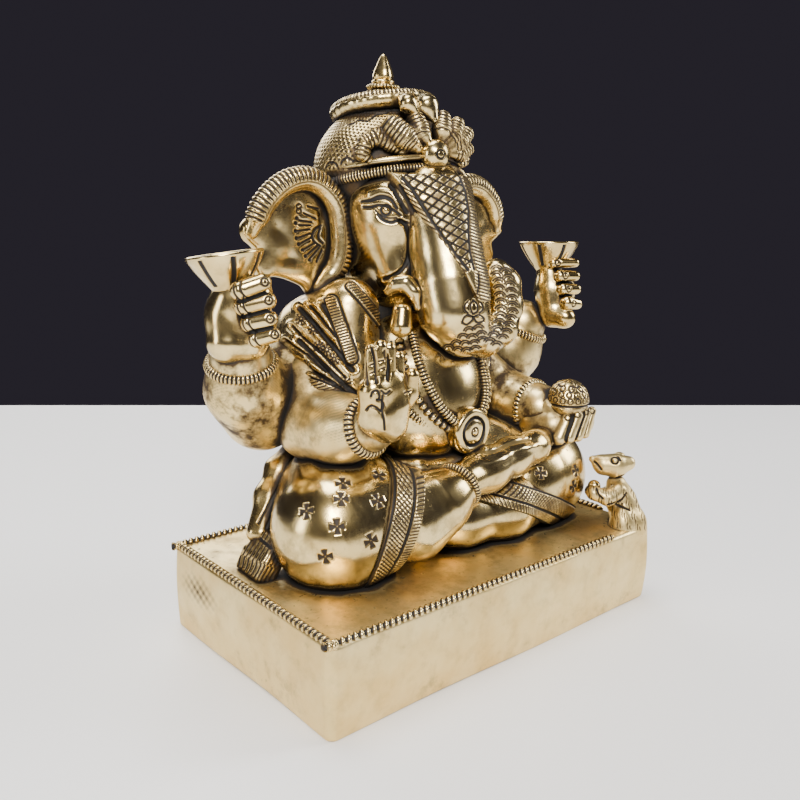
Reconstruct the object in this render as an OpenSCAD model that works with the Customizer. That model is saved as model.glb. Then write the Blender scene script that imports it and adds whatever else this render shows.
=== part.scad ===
// Seated four-armed elephant-headed figure in cast brass, on a hollow oblong plinth, with
// a mouse at one corner. Millimetres. X runs across the plinth, the figure faces -Y, Z is up,
// and the origin is the middle of the plinth's underside. The figure's right side is -X.

/* [Plinth] */
// Width of the plinth, side to side
plinth_w = 118; // [112:1:126]
// Depth of the plinth, front to back
plinth_d = 71; // [70:1:78]
// Height of the plinth
plinth_h = 23; // [18:0.5:28]
// Radius of the plinth's upright corners
plinth_corner = 2; // [1:0.5:6]
// Wall thickness of the hollow plinth
plinth_wall = 3; // [2:0.5:5]

/* [Beaded border] */
// Width of the beaded border on the plinth's top
border_w = 1.8; // [1:0.1:3]
// Height of the beaded border
border_h = 1.3; // [0.6:0.1:2]

/* [Body] */
// Radius of the round belly
belly_r = 21.5; // [20:0.5:23]
// Radius of the thigh where it leaves the hip
hip_r = 16; // [15:0.5:17]
// Radius of the rear arms at the elbow
elbow_r = 9.5; // [8:0.5:10.5]
// Width of the patterned hems at the knees
hem_w = 8.5; // [5:0.5:10]
// How far the hems stand proud of the cloth
hem_step = 0.9; // [0.5:0.1:1.5]

/* [Head] */
// Radius of the skull
skull_r = 17.5; // [16.5:0.5:18.5]
// How far the forehead panel stands proud
panel_step = 1; // [0.5:0.1:1.5]
// Thickness of the ear plates
ear_plate = 4; // [3:0.5:6]
// Radius of the rolled rim of the ears
ear_rim_r = 2.8; // [2.5:0.1:3.8]

/* [Turban] */
// Radius of the turban's dome
turban_r = 21; // [20:0.5:22]
// Radius of the roll round the turban's crown, to the middle of the roll
roll_ring_r = 12; // [11:0.5:13]
// Height of the finial's cone
finial_h = 6.8; // [6:0.2:9]

/* [Cups] */
// Diameter of the two cups at the brim
cup_d = 18.2; // [16:0.2:20]
// Height of the cups
cup_h = 10.5; // [9:0.5:12]
// Depth of the shallow dish in each cup
cup_dish = 2.6; // [1:0.2:3.4]

/* [Ornament] */
// Diameter of the chest medallion
medallion_d = 12.4; // [10:0.2:13]
// Radius of the garland cords
cord_r = 1.25; // [0.9:0.05:1.5]
// Radius of the wrist bangles' ring section
bangle_r = 1.6; // [1.2:0.1:2]
// Radius of the round sweet in the left hand
modak_r = 6; // [5.6:0.2:7.4]

/* [Hidden] */

GOLD = "darkgoldenrod";
PALE = "khaki";
DEEP = "goldenrod";
eps = 0.01;
far = 400;
smooth_fn = 32;

// Stations are [x, y, z, radius]; a limb runs through them
PLINTH_TOP = plinth_h;
RIGHT_THIGH = [[-13, 14, 38, hip_r], [-27, 4, 37, hip_r], [-35, -5, 36, hip_r - 0.5], [-26, -9, 37.5, 13]];
LEFT_THIGH = [[13, 14, 38, hip_r], [29, 4, 37, hip_r], [39, -5, 36, hip_r - 0.5], [30, -9, 35, 12.5]];
RIGHT_SHIN = [[-28, -8, 37.5, 12.3], [-19.5, -16.5, 38, 10.2], [-12.5, -19.5, 41.5, 7.4], [-8.5, -20, 44, 5.4]];
RIGHT_FOOT = [[-6.5, -19.6, 45, 6], [5, -18.5, 46.3, 5.4], [15, -18, 47.8, 4.8], [24, -17.5, 49, 4],
    [35, -14.5, 50.2, 2.8]];
LEFT_SHIN = [[31, -9, 32, 11], [18, -12.5, 31.5, 9.4], [3, -11, 30.8, 8], [-8, -7, 30.4, 6.6]];
REAR_ARM = [[-22, 20, 79, 9.5], [-33, 20, 68, 9.5], [-42, 18, 62.2, elbow_r],
    [-49, 15, 69, 9], [-51.5, 12, 79, 8]];
REAR_BANGLE_AT = [-50.4, 13.4, 75];
REAR_HAND = [[-52, 10.5, 83, 7.4], [-50.5, 5, 86, 8], [-51.5, 5, 91.5, 7.6], [-55, 8, 94, 6]];
CUP_AT = [-57, 8, 93.2];
RIGHT_FRONT_ARM = [[-29, 14, 69, 9.5], [-32.5, 8, 59.5, 9.3], [-32.5, -3, 60, 8.4], [-31.5, -14, 63, 6.2]];
RIGHT_BANGLE_AT = [-31.8, -13, 62.6];
LEFT_FRONT_ARM = [[26, 14, 68, 10], [36, 10, 57, 9.5], [37, 0, 55.5, 8.5], [37.5, -8, 56, 7.5]];
LEFT_BANGLE_AT = [37.3, -5.5, 56];
LEFT_HAND = [[37.5, -10, 56, 7.6], [38, -16, 55, 7.8], [38.5, -20, 54.5, 6]];
MODAK_AT = [39.6, -16.1, 60];
TRUNK = [[0, 3, 116, 10.2], [-0.5, -2, 109.8, 9], [-1, -4.8, 103.3, 9], [-1.6, -8, 95, 9.2],
    [-1.5, -10.2, 88.4, 8.9], [1, -11.3, 83.2, 7.2], [7.9, -11.6, 80.9, 5.8], [13.8, -12, 82.8, 5.3],
    [16.5, -11.3, 88.4, 5.2], [16.1, -10.6, 94, 5], [14.4, -9.4, 97.2, 4]];
BROW = [[0, 17, 112, skull_r], [-7, 9, 112, 10.5], [7, 9, 112, 10.5], [0, 16, 98, 14]];
RIGHT_TUSK = [[-13.4, -2.6, 94, 2.6], [-14.4, -4, 89, 3.2], [-14.8, -4.6, 85, 3.2]];
EAR = [[-43, 20, 107.5, 3], [-40, 20, 99, 3], [-28.5, 20, 118.5, 3], [-19, 19.5, 117, 3],
    [-18, 19, 96, 3], [-24, 20, 93, 3], [-38, 20, 115, 3]];
EAR_RIM = [[-44, 19, 107], [-40.5, 18, 114.5], [-34, 17.5, 119.5], [-26.5, 17, 120],
    [-20.5, 16, 115], [-18.6, 15.5, 107], [-19.5, 15.5, 98.5], [-24, 17, 92.5]];
SHAWL = [[-23, 18, 79, 13], [-20, 10, 88, 8], [-25, 7, 68, 11], [-22, 2, 62, 8]];
GARLAND_INNER = [[-9, -2.5, 82], [-10.5, -8, 74], [-9, -12.5, 66], [-5, -15, 60.5],
    [0, -15.3, 58], [5, -15, 60.5], [9, -12.5, 66], [10.5, -8, 74], [9, -2.5, 82]];
GARLAND_BEADS = [for (p = GARLAND_INNER) [p[0] * 1.32, p[1] + 1.8, p[2] - 1.4]];
GARLAND_OUTER = [for (p = GARLAND_INNER) [p[0] * 1.62, p[1] + 4.4, p[2] - 2.6]];
SASH = [[-32, 16, 47, 5], [-41, 15, 40, 4.6], [-47.5, 10.5, 32, 4.2]];
TASSEL = [[-48.6, 9.5, 30, 3.6], [-50.6, 7, 25.6, 4]];
MOUSE_AT = [53, -29];
MOUSE_BODY = [[54, -31.2, 21, 4.7], [54.4, -30, 25.5, 4.6], [53.9, -27.6, 30.2, 4], [53.6, -25.7, 34.6, 3.1]];
MOUSE_ARMS = [[[51.2, -28.2, 33.6, 2.3], [47.4, -27.6, 32.2, 2.1], [44.6, -24.8, 33.4, 2.2]],
    [[56.6, -22.6, 31.6, 2.1], [53.4, -21.7, 30.2, 1.9], [48, -21.6, 32.4, 1.9]]];
TURBAN_TILT = 14;
CROWN_Z = 139.8;
CROWN_Y = 21.5;

// How many sides a ball of this radius is drawn with
function ball_sides(r) = r > 13 ? 16 : r > 8 ? 12 : r > 3 ? 10 : 8;
// A point on the mid-line of a ring of radius r round the point c, leaning back by tilt degrees
function ring_point(c, r, angle, tilt) = [c[0] + r * sin(angle),
    c[1] - r * cos(angle) * cos(tilt), c[2] + r * cos(angle) * sin(tilt)];

module ball(p, r) translate([p[0], p[1], p[2]]) sphere(r, $fn = ball_sides(r));

// A smooth limb through a list of [x, y, z, radius] stations
module limb(stations) for (i = [0:len(stations) - 2]) hull() {
    ball(stations[i], stations[i][3]);
    ball(stations[i + 1], stations[i + 1][3]);
}

// A round cord of one radius through a list of points
module cord(points, r) limb([for (p = points) [p[0], p[1], p[2], r]]);

// One rounded body wrapped round all its stations
module mass(stations) hull() for (s = stations) ball(s, s[3]);

// Turns blended forms into one closed mesh
module casting() resize([0, 0, 0]) children();

// Keeps what stands above the plinth's top
module above_plinth() intersection() {
    children();
    translate([-far / 2, -far / 2, PLINTH_TOP]) cube([far, far, far]);
}

// Plinth: an oblong box with rounded uprights, open underneath
module plinth_outline(inset) translate([-plinth_w / 2 + inset, -plinth_d / 2 + inset])
    rounded_rect(plinth_w - 2 * inset, plinth_d - 2 * inset, max(plinth_corner - inset, 0.5));
module rounded_rect(w, d, r) union() {
    translate([r, 0]) square([w - 2 * r, d]);
    translate([0, r]) square([w, d - 2 * r]);
    for (x = [r, w - r], y = [r, d - r]) translate([x, y]) circle(r, $fn = smooth_fn);
}
module plinth() color(PALE) difference() {
    linear_extrude(plinth_h) plinth_outline(0);
    translate([0, 0, -eps]) linear_extrude(plinth_h - plinth_wall + eps) plinth_outline(plinth_wall);
}

// Beaded border: a raised cord round the top edge, stopped short of the mouse's corner
module beaded_border() color(DEEP) difference() {
    translate([0, 0, PLINTH_TOP]) linear_extrude(border_h) difference() {
        plinth_outline(0.2);
        plinth_outline(0.2 + border_w);
    }
    translate([MOUSE_AT[0] - 5, MOUSE_AT[1] - 10, PLINTH_TOP - eps]) cube([20, 17, border_h + 1]);
}

// Mouse: stands at the front left corner, its back outwards, and looks at the figure
module mouse_body_form() above_plinth() union() {
    limb(MOUSE_BODY);
    for (arm = MOUSE_ARMS) limb(arm);
}
module mouse_head_form() union() {
    hull() {
        ball([53.6, -25.1, 40.4], 4);
        ball([50.9, -22.7, 40.4], 3.1);
        ball([48.6, -20.4, 41.5], 1.1);
    }
    ball([56.2, -27.8, 41.2], 2.2);
    ball([58.6, -22.6, 40.8], 2.2);
}
module mouse_sweet_form() ball([46.6, -23.3, 34.8], 2.2);
module mouse_body() color(PALE) casting() difference() {
    mouse_body_form();
    mouse_head_form();
    mouse_sweet_form();
}
module mouse_head() color(PALE) casting() mouse_head_form();
module mouse_sweet() color(DEEP) casting() difference() {
    mouse_sweet_form();
    mouse_head_form();
}

// Legs: crossed, the right foot lying on the left shin
module right_thigh_form() above_plinth() limb(RIGHT_THIGH);
module left_thigh_form() above_plinth() limb(LEFT_THIGH);
module right_shin_form() above_plinth() limb(RIGHT_SHIN);
module left_shin_form() above_plinth() limb(LEFT_SHIN);
module right_foot_form() limb(RIGHT_FOOT);
module right_anklet_form() translate([-7.3, -19.8, 44.8]) rotate([0, 68, 10])
    rotate_extrude($fn = 20) translate([5.5, 0]) circle(1.3, $fn = 14);
module right_thigh() color(PALE) casting() difference() {
    right_thigh_form();
    right_shin_form();
    belly_form();
    right_hem_band_form();
    dhoti_sash_form();
    sash_tassel_form();
}
module left_thigh() color(PALE) casting() difference() {
    left_thigh_form();
    right_thigh_form();
    right_shin_form();
    left_shin_form();
    right_foot_form();
    belly_form();
    left_hem_band_form();
}
module right_shin() color(DEEP) casting() difference() {
    right_shin_form();
    right_anklet_form();
    right_foot_form();
    belly_form();
    right_hem_band_form();
}
module left_shin() color(DEEP) casting() difference() {
    left_shin_form();
    right_shin_form();
    right_foot_form();
    right_anklet_form();
    right_thigh_form();
    belly_form();
    left_hem_band_form();
}
module right_foot() color(DEEP) casting() difference() {
    right_foot_form();
    belly_form();
    right_anklet_form();
}
module right_anklet() color(DEEP) casting() difference() {
    right_anklet_form();
    belly_form();
}

// Hem bands: the patterned borders where the cloth ends above each shin
module grown_limb(stations, extra) limb([for (s = stations) [s[0], s[1], s[2], s[3] + extra]]);
module right_hem_band_form() above_plinth() intersection() {
    union() {
        grown_limb(RIGHT_THIGH, hem_step);
        grown_limb(RIGHT_SHIN, hem_step);
    }
    translate([-25, -15.5, 37.7]) rotate([0, 15.5, -28]) cube([hem_w, 34, 50], center = true);
}
module left_hem_band_form() above_plinth() intersection() {
    union() {
        grown_limb(LEFT_THIGH, hem_step);
        grown_limb(LEFT_SHIN, hem_step);
    }
    translate([24, -16, 32]) rotate([0, 27, 18]) cube([52, 30, hem_w], center = true);
}
module right_hem_band() color(DEEP) casting() difference() {
    right_hem_band_form();
    belly_form();
}
module left_hem_band() color(DEEP) casting() difference() {
    left_hem_band_form();
    right_foot_form();
}

// Sash: falls from the hip over the right knee, ending in a tassel on the plinth
module dhoti_sash_form() above_plinth() limb(SASH);
module sash_tassel_form() above_plinth() limb(TASSEL);
module dhoti_sash() color(DEEP) casting() difference() {
    dhoti_sash_form();
    sash_tassel_form();
    torso_form();
}
module sash_tassel() color(DEEP) casting() sash_tassel_form();

// Waistband: the cloth roll under the belly
module waistband_form() cord([[-19, 1, 47.5], [-11, -9, 46.5], [0, -12.5, 47], [8, -10.5, 49], [16, -3, 51]], 3);
module waistband() color(DEEP) casting() difference() {
    waistband_form();
    belly_form();
    medallion_form();
    right_foot_form();
    right_anklet_form();
    right_thigh_form();
    left_thigh_form();
    right_shin_form();
    left_shin_form();
    right_hem_band_form();
}

// Trunk of the body
module belly_form() union() {
    ball([0, 7.5, 60], belly_r);
    ball([0, 9, 67], belly_r - 2.5);
}
module torso_form() above_plinth() mass([[0, 17.5, 38, 16], [0, 16.5, 62, 18], [-17, 19.5, 79, 12],
    [17, 19.5, 79, 12], [0, 17, 92, 12]]);
module belly() color(GOLD) casting() difference() {
    belly_form();
    medallion_form();
    garland_forms();
}
module torso() color(GOLD) casting() difference() {
    torso_form();
    belly_form();
    thigh_forms();
    shawl_forms();
    head_form();
    trunk_form();
    garland_forms();
    ear_forms();
    left_shin_form();
}
module thigh_forms() {
    right_thigh_form();
    left_thigh_form();
}

// Shawl: a pleated cloth over each shoulder, fuller on the right
module right_shawl_form() mass(SHAWL);
module left_shawl_form() mirror([1, 0, 0]) mass([[-22, 18, 80, 11], [-17, 9, 87, 7], [-21, 8, 70, 8]]);
module shawl_forms() {
    right_shawl_form();
    left_shawl_form();
}
module right_shawl() color(GOLD) casting() difference() {
    right_shawl_form();
    belly_form();
    head_form();
    trunk_form();
    tusk_forms();
    garland_forms();
    ear_forms();
    thigh_forms();
    right_front_hand_form();
}
module left_shawl() color(GOLD) casting() difference() {
    left_shawl_form();
    belly_form();
    head_form();
    trunk_form();
    tusk_forms();
    garland_forms();
    ear_forms();
}

// Garlands: three cords that meet at the medallion
module garland_inner_form() cord(GARLAND_INNER, cord_r);
module garland_beads_form() cord(GARLAND_BEADS, cord_r);
module garland_outer_form() cord(GARLAND_OUTER, cord_r);
module garland_forms() {
    garland_inner_form();
    garland_beads_form();
    garland_outer_form();
}
module garland_inner() color(PALE) casting() difference() {
    garland_inner_form();
    medallion_form();
    trunk_form();
    head_form();
    tusk_forms();
}
module garland_beads() color(PALE) casting() difference() {
    garland_beads_form();
    garland_inner_form();
    medallion_form();
    trunk_form();
    head_form();
    tusk_forms();
}
module garland_outer() color(PALE) casting() difference() {
    garland_outer_form();
    garland_inner_form();
    garland_beads_form();
    medallion_form();
    trunk_form();
    head_form();
    tusk_forms();
}
module medallion_form() translate([0, -11, 56.6]) rotate([90, 0, 0]) rotate_extrude($fn = smooth_fn)
    polygon([[0, 0], [medallion_d / 2, 0], [medallion_d / 2, 4], [medallion_d / 2 - 1, 4.8],
        [medallion_d / 2 - 2.2, 4.4], [1.6, 4.6], [0, 5.2]]);
module medallion() color(PALE) medallion_form();

// Rear arms: elbows out, forearms up, fists holding the cups
module rear_arm_form() limb(REAR_ARM);
module rear_bangle_form() translate(REAR_BANGLE_AT) rotate([16, -14, 0]) rotate_extrude($fn = 20)
    translate([7.8, 0]) circle(bangle_r, $fn = 14);
module rear_hand_form() limb(REAR_HAND);
module cup_form() translate(CUP_AT) rotate_extrude($fn = smooth_fn) polygon([[0, 0], [cup_d * 0.27, 0],
    [cup_d / 2 - 0.9, cup_h - 1.6], [cup_d / 2, cup_h - 1.2], [cup_d / 2, cup_h],
    [cup_d / 2 - 0.9, cup_h], [cup_d * 0.3, cup_h - cup_dish], [0, cup_h - cup_dish]]);
module rear_arm_piece() casting() difference() {
    rear_arm_form();
    rear_bangle_form();
    rear_hand_form();
    mass(SHAWL);
    right_ear_form();
    right_thigh_form();
    torso_form();
}
module rear_hand_piece() casting() difference() {
    rear_hand_form();
    rear_bangle_form();
    cup_form();
}
module right_rear_arm() color(GOLD) rear_arm_piece();
module right_rear_bangle() color(DEEP) rear_bangle_form();
module right_rear_hand() color(PALE) rear_hand_piece();
module right_cup() color(PALE) cup_form();
module left_rear_arm() color(GOLD) casting() difference() {
    mirror([1, 0, 0]) rear_arm_piece();
    left_shawl_form();
}
module left_rear_bangle() color(DEEP) mirror([1, 0, 0]) rear_bangle_form();
module left_rear_hand() color(PALE) mirror([1, 0, 0]) rear_hand_piece();
module left_cup() color(PALE) mirror([1, 0, 0]) cup_form();

// Front arms: the right palm is raised, the left hand holds a sweet on the knee
module right_front_arm_form() limb(RIGHT_FRONT_ARM);
module right_front_bangle_form() translate(RIGHT_BANGLE_AT) rotate([74, 0, 8])
    rotate_extrude($fn = 20) translate([6, 0]) circle(bangle_r, $fn = 14);
module right_front_hand_form() union() {
    hull() {
        ball([-31, -18.5, 65], 4.4);
        ball([-35, -20, 65.5], 3.8);
        ball([-29, -20, 68], 3.4);
        ball([-37, -20.6, 74], 3);
        ball([-30.5, -19.6, 75], 3);
    }
    for (i = [0:3]) hull() {
        ball([-37.4 + i * 2.8, -20.8, 74], 1.7);
        ball([-37.2 + i * 2.8, -20.2, [82.8, 83.6, 82.8, 80.4][i]], 1.5);
    }
    hull() {
        ball([-28.4, -20.5, 68], 2.3);
        ball([-26, -21.5, 75.6], 1.8);
    }
}
module left_front_arm_form() limb(LEFT_FRONT_ARM);
module left_front_bangle_form() translate(LEFT_BANGLE_AT) rotate([88, 0, 2])
    rotate_extrude($fn = 20) translate([7, 0]) circle(bangle_r, $fn = 14);
module left_front_hand_form() limb(LEFT_HAND);
module modak_form() translate(MODAK_AT) sphere(modak_r, $fn = 24);
module right_front_arm() color(GOLD) casting() difference() {
    right_front_arm_form();
    right_front_bangle_form();
    right_front_hand_form();
    right_shawl_form();
    belly_form();
    torso_form();
    right_thigh_form();
    garland_forms();
    rear_arm_form();
}
module right_front_bangle() color(DEEP) right_front_bangle_form();
module right_front_hand() color(PALE) casting() difference() {
    right_front_hand_form();
    right_front_bangle_form();
}
module left_front_arm() color(GOLD) casting() difference() {
    left_front_arm_form();
    left_front_bangle_form();
    left_front_hand_form();
    left_shawl_form();
    belly_form();
    torso_form();
    left_thigh_form();
    garland_forms();
    mirror([1, 0, 0]) rear_arm_form();
    modak_form();
}
module left_front_bangle() color(DEEP) casting() difference() {
    left_front_bangle_form();
    left_thigh_form();
    left_front_hand_form();
    belly_form();
}
module left_front_hand() color(PALE) casting() difference() {
    left_front_hand_form();
    left_thigh_form();
    right_foot_form();
    left_shin_form();
    modak_form();
}
module modak() color(PALE) casting() modak_form();

// Elephant head
module head_form() union() {
    mass(BROW);
    for (side = [-1, 1]) hull() {
        ball([side * 9.5, 7, 108], 8.5);
        ball([side * 9, 4, 98], 7.5);
    }
}
module trunk_form() limb(TRUNK);
module right_tusk_form() limb(RIGHT_TUSK);
module left_tusk_form() mirror([1, 0, 0]) limb(RIGHT_TUSK);
module tusk_forms() {
    right_tusk_form();
    left_tusk_form();
}
module forehead_panel_form() intersection() {
    union() {
        limb([for (t = TRUNK) [t[0], t[1], t[2], t[3] + panel_step]]);
        mass([for (t = BROW) [t[0], t[1], t[2], t[3] + panel_step]]);
    }
    translate([0, 8, 0]) rotate([90, 0, 0]) linear_extrude(50)
        polygon([[-12, 122.5], [12, 122.5], [2, 92], [-2, 92]]);
}
module head() color(GOLD) casting() difference() {
    head_form();
    trunk_form();
    tusk_forms();
    turban_form();
    turban_headband_form();
    forehead_panel_form();
}
module trunk() color(GOLD) casting() difference() {
    trunk_form();
    turban_headband_form();
    turban_form();
    belly_form();
    forehead_panel_form();
}
module forehead_panel() color(PALE) casting() difference() {
    forehead_panel_form();
    turban_headband_form();
    turban_form();
}
module right_tusk() color(PALE) casting() difference() {
    right_tusk_form();
    trunk_form();
}
module left_tusk() color(PALE) casting() difference() {
    left_tusk_form();
    trunk_form();
}

// Ears: thin plates with a rolled rim
module right_ear_form() intersection() {
    mass(EAR);
    translate([-far / 2, 20 - ear_plate / 2, 0]) cube([far, ear_plate, far]);
}
module right_ear_rim_form() cord(EAR_RIM, ear_rim_r);
module ear_forms() for (side = [0, 1]) mirror([side, 0, 0]) {
    right_ear_form();
    right_ear_rim_form();
}
module ear_piece() difference() {
    right_ear_form();
    right_ear_rim_form();
    head_form();
    turban_form();
    turban_headband_form();
}
module ear_rim_piece() difference() {
    right_ear_rim_form();
    head_form();
    turban_form();
    turban_headband_form();
}
module right_ear() color(GOLD) casting() ear_piece();
module left_ear() color(GOLD) casting() mirror([1, 0, 0]) ear_piece();
module right_ear_rim() color(DEEP) casting() ear_rim_piece();
module left_ear_rim() color(DEEP) casting() mirror([1, 0, 0]) ear_rim_piece();

// Turban: a dome leaning back, banded at the brow and rolled round the crown
module turban_form() mass([[0, 21, 124, turban_r - 8], [0, 21.5, 126, turban_r - 6.5],
    [0, 15, 128.5, turban_r - 8.5], [-8.5, 19, 122.5, turban_r - 8.5], [8.5, 19, 122.5, turban_r - 8.5],
    [0, 20, 131, turban_r - 10]]);
module turban_headband_form() cord([for (a = [-125:25:125])
    ring_point([0, 20, 119.5], 20.3, a, TURBAN_TILT)], 2.1);
module turban_fan_form() for (a = [-75:25:75]) hull() {
    ball([2 * sin(a), 2.5, 128], 2.4);
    ball([13 * sin(a), 5.5 + 4 * sin(abs(a)), 128.5 + 9 * cos(a)], 3.1);
}
module turban_jewel_form() translate([0, 4, 127.1]) rotate([90, 0, 0]) rotate_extrude($fn = smooth_fn)
    polygon([[0, 0], [3.9, 0], [3.9, 2.6], [3.2, 4], [1.8, 4.9], [0, 5.2]]);
module turban_roll_form() cord([for (a = [0:30:360])
    ring_point([0, CROWN_Y, CROWN_Z], roll_ring_r, a, 10.5)], 3);
module turban_leaf_form() hull() {
    ball([0, 8.5, 140], 2);
    ball([0, 5.6, 137.5], 2.6);
    ball([0, 2.4, 132], 1.4);
}
module turban_cap_form() translate([0, CROWN_Y, CROWN_Z]) rotate_extrude($fn = smooth_fn)
    polygon([[0, -1.5], [10.5, -1.5], [10.2, 1.6], [7, 3.4], [3.2, 4.4], [0, 4.4]]);
module finial_ring_form() translate([0, CROWN_Y + 0.6, CROWN_Z + 4.4]) rotate_extrude($fn = smooth_fn)
    polygon([[0, 0], [3, 0], [4.1, 0.5], [4.1, 1.1], [3.2, 1.6], [3.9, 2.1], [3.6, 2.6], [0, 2.6]]);
module finial_form() translate([0, CROWN_Y + 0.6, CROWN_Z + 7]) rotate_extrude($fn = smooth_fn)
    polygon([[0, 0], [3.1, 0], [3.3, 0.8], [2.4, 2.4], [1.1, finial_h * 0.7], [0, finial_h]]);
module turban() color(GOLD) casting() difference() {
    turban_form();
    turban_headband_form();
    turban_fan_form();
    turban_jewel_form();
    turban_roll_form();
    turban_leaf_form();
    turban_cap_form();
    right_ear_rim_form();
    mirror([1, 0, 0]) right_ear_rim_form();
}
module turban_headband() color(DEEP) casting() difference() {
    turban_headband_form();
    turban_jewel_form();
    turban_fan_form();
}
module turban_fan() color(PALE) casting() difference() {
    turban_fan_form();
    turban_jewel_form();
    turban_leaf_form();
}
module turban_jewel() color(PALE) turban_jewel_form();
module turban_roll() color(DEEP) casting() difference() {
    turban_roll_form();
    turban_leaf_form();
    turban_cap_form();
}
module turban_leaf() color(PALE) casting() turban_leaf_form();
module turban_cap() color(GOLD) casting() difference() {
    turban_cap_form();
    turban_leaf_form();
}
module finial_ring() color(DEEP) finial_ring_form();
module finial() color(PALE) finial_form();

plinth();
beaded_border();
mouse_body();
mouse_head();
mouse_sweet();
right_thigh();
left_thigh();
right_shin();
right_anklet();
right_foot();
left_shin();
right_hem_band();
left_hem_band();
dhoti_sash();
sash_tassel();
waistband();
torso();
belly();
right_shawl();
left_shawl();
garland_inner();
garland_beads();
garland_outer();
medallion();
right_rear_arm();
right_rear_bangle();
right_rear_hand();
right_cup();
left_rear_arm();
left_rear_bangle();
left_rear_hand();
left_cup();
right_front_arm();
right_front_bangle();
right_front_hand();
left_front_arm();
left_front_bangle();
left_front_hand();
modak();
head();
trunk();
forehead_panel();
right_tusk();
left_tusk();
right_ear();
left_ear();
right_ear_rim();
left_ear_rim();
turban();
turban_headband();
turban_fan();
turban_jewel();
turban_roll();
turban_leaf();
turban_cap();
finial_ring();
finial();
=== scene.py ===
# %% [markdown]
# # A seated elephant-headed figure in cast brass
#
# The real object is one brass casting that a chaser has worked over: every piece of cloth,
# jewel and limb is modelled in wax, cast, filed bright and engraved, and a dark wash is left
# in the cuts. The frame gives each piece its place and size. Here each piece is sculpted
# again at full detail around that frame.

# %% The frame
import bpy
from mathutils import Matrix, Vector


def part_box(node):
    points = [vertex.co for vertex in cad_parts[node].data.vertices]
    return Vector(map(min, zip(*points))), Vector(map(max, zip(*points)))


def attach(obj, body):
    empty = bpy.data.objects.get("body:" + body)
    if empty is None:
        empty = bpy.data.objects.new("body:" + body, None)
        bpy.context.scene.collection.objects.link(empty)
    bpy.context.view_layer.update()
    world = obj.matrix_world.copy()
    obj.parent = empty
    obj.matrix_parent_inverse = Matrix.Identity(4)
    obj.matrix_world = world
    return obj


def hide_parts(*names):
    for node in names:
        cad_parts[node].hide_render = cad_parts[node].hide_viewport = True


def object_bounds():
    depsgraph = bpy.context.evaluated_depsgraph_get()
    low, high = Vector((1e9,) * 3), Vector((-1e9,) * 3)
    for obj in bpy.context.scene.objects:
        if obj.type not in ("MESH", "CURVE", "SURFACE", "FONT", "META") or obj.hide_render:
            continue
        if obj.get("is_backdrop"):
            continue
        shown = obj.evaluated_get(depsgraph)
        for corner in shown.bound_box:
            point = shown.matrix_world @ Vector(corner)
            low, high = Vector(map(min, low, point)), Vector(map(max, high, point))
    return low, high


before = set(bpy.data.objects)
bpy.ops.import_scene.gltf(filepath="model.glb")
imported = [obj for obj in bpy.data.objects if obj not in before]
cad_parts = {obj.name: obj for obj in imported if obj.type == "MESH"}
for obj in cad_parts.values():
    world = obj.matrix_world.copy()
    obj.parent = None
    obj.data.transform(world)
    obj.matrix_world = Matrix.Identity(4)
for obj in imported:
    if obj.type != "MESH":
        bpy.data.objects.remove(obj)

from concurrent.futures import ThreadPoolExecutor
import bpy
import numpy as np
import openvdb
from mathutils import Vector

cad_box = [list(corner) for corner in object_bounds()]
MM = 0.001


def middle(node):
    """The middle of a node's box, in millimetres."""
    low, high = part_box(node)
    return (np.array(low) + np.array(high)) / 2 / MM


def box_mm(node):
    """A node's lowest and highest corners, in millimetres."""
    return [np.array(corner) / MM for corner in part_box(node)]


def foot_of(node):
    """The middle of the underside of a node's box."""
    low, high = box_mm(node)
    return np.array([(low[0] + high[0]) / 2, (low[1] + high[1]) / 2, low[2]])


def place(node, x, y, z):
    """A point given from the middle of a node's box."""
    return middle(node) + [x, y, z]


def on(node, stations):
    """Stations of a form, (x, y, z, radius...), given from the middle of a node's box."""
    return [np.array([*(middle(node) + s[:3]), *s[3:]]) for s in stations]


plinth_low, plinth_high = box_mm("plinth")
plinth_size = plinth_high - plinth_low
print("frame: %d nodes, plinth %.0f x %.0f x %.0f mm" % (len(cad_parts), *plinth_size))

# %% [markdown]
# ## The viewing position
#
# The camera stands in front of the figure's right side, a little above its head, as a person
# would hold the figure up to look at it. It comes first because the chased lines that matter
# most are laid out on charts that face this position, the way a chaser turns the work towards
# the eye.

# %% Camera
EYE = np.array([-161.5, -172.5, 118.4])
LOOK = np.array([0.64121, 0.73152, -0.23180])
EYE_UP = np.array([0.13301, 0.19155, 0.97243])
LENS = 39.85
SENSOR_WIDTH = 36

camera = bpy.data.objects.new("camera", bpy.data.cameras.new("camera"))
bpy.context.scene.collection.objects.link(camera)
camera.data.lens = LENS
camera.data.sensor_width = SENSOR_WIDTH
side = np.cross(LOOK, EYE_UP)
for row in range(3):
    camera.matrix_world[row] = (side[row], EYE_UP[row], -LOOK[row], EYE[row] * MM)
camera.data.clip_start = 0.01
bpy.context.scene.camera = camera
print("camera %.0f mm from the figure" % np.linalg.norm(EYE - [0, 0, 70]))

# %% [markdown]
# ## Forms
#
# A figure like this has no straight lines, so building it from polygons by hand is slow. Each
# piece is described instead as a distance field: a function that says, at any point, how far
# the surface is and on which side. Balls, bones and eggs melt into each other like wax, and
# a tool's shape keeps only what lies inside it. A mesh is drawn on the result at the end.

# %% Distance fields
FAR = 999


def unit(vector):
    return np.asarray(vector, float) / np.linalg.norm(vector)


class Form:
    """A solid given by a distance function of (x, y, z), with the box it fits in."""

    def __init__(self, distance, low, high):
        self.distance = distance
        self.low = np.array(low, float)
        self.high = np.array(high, float)

    def __call__(self, x, y, z):
        return self.distance(x, y, z)


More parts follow.
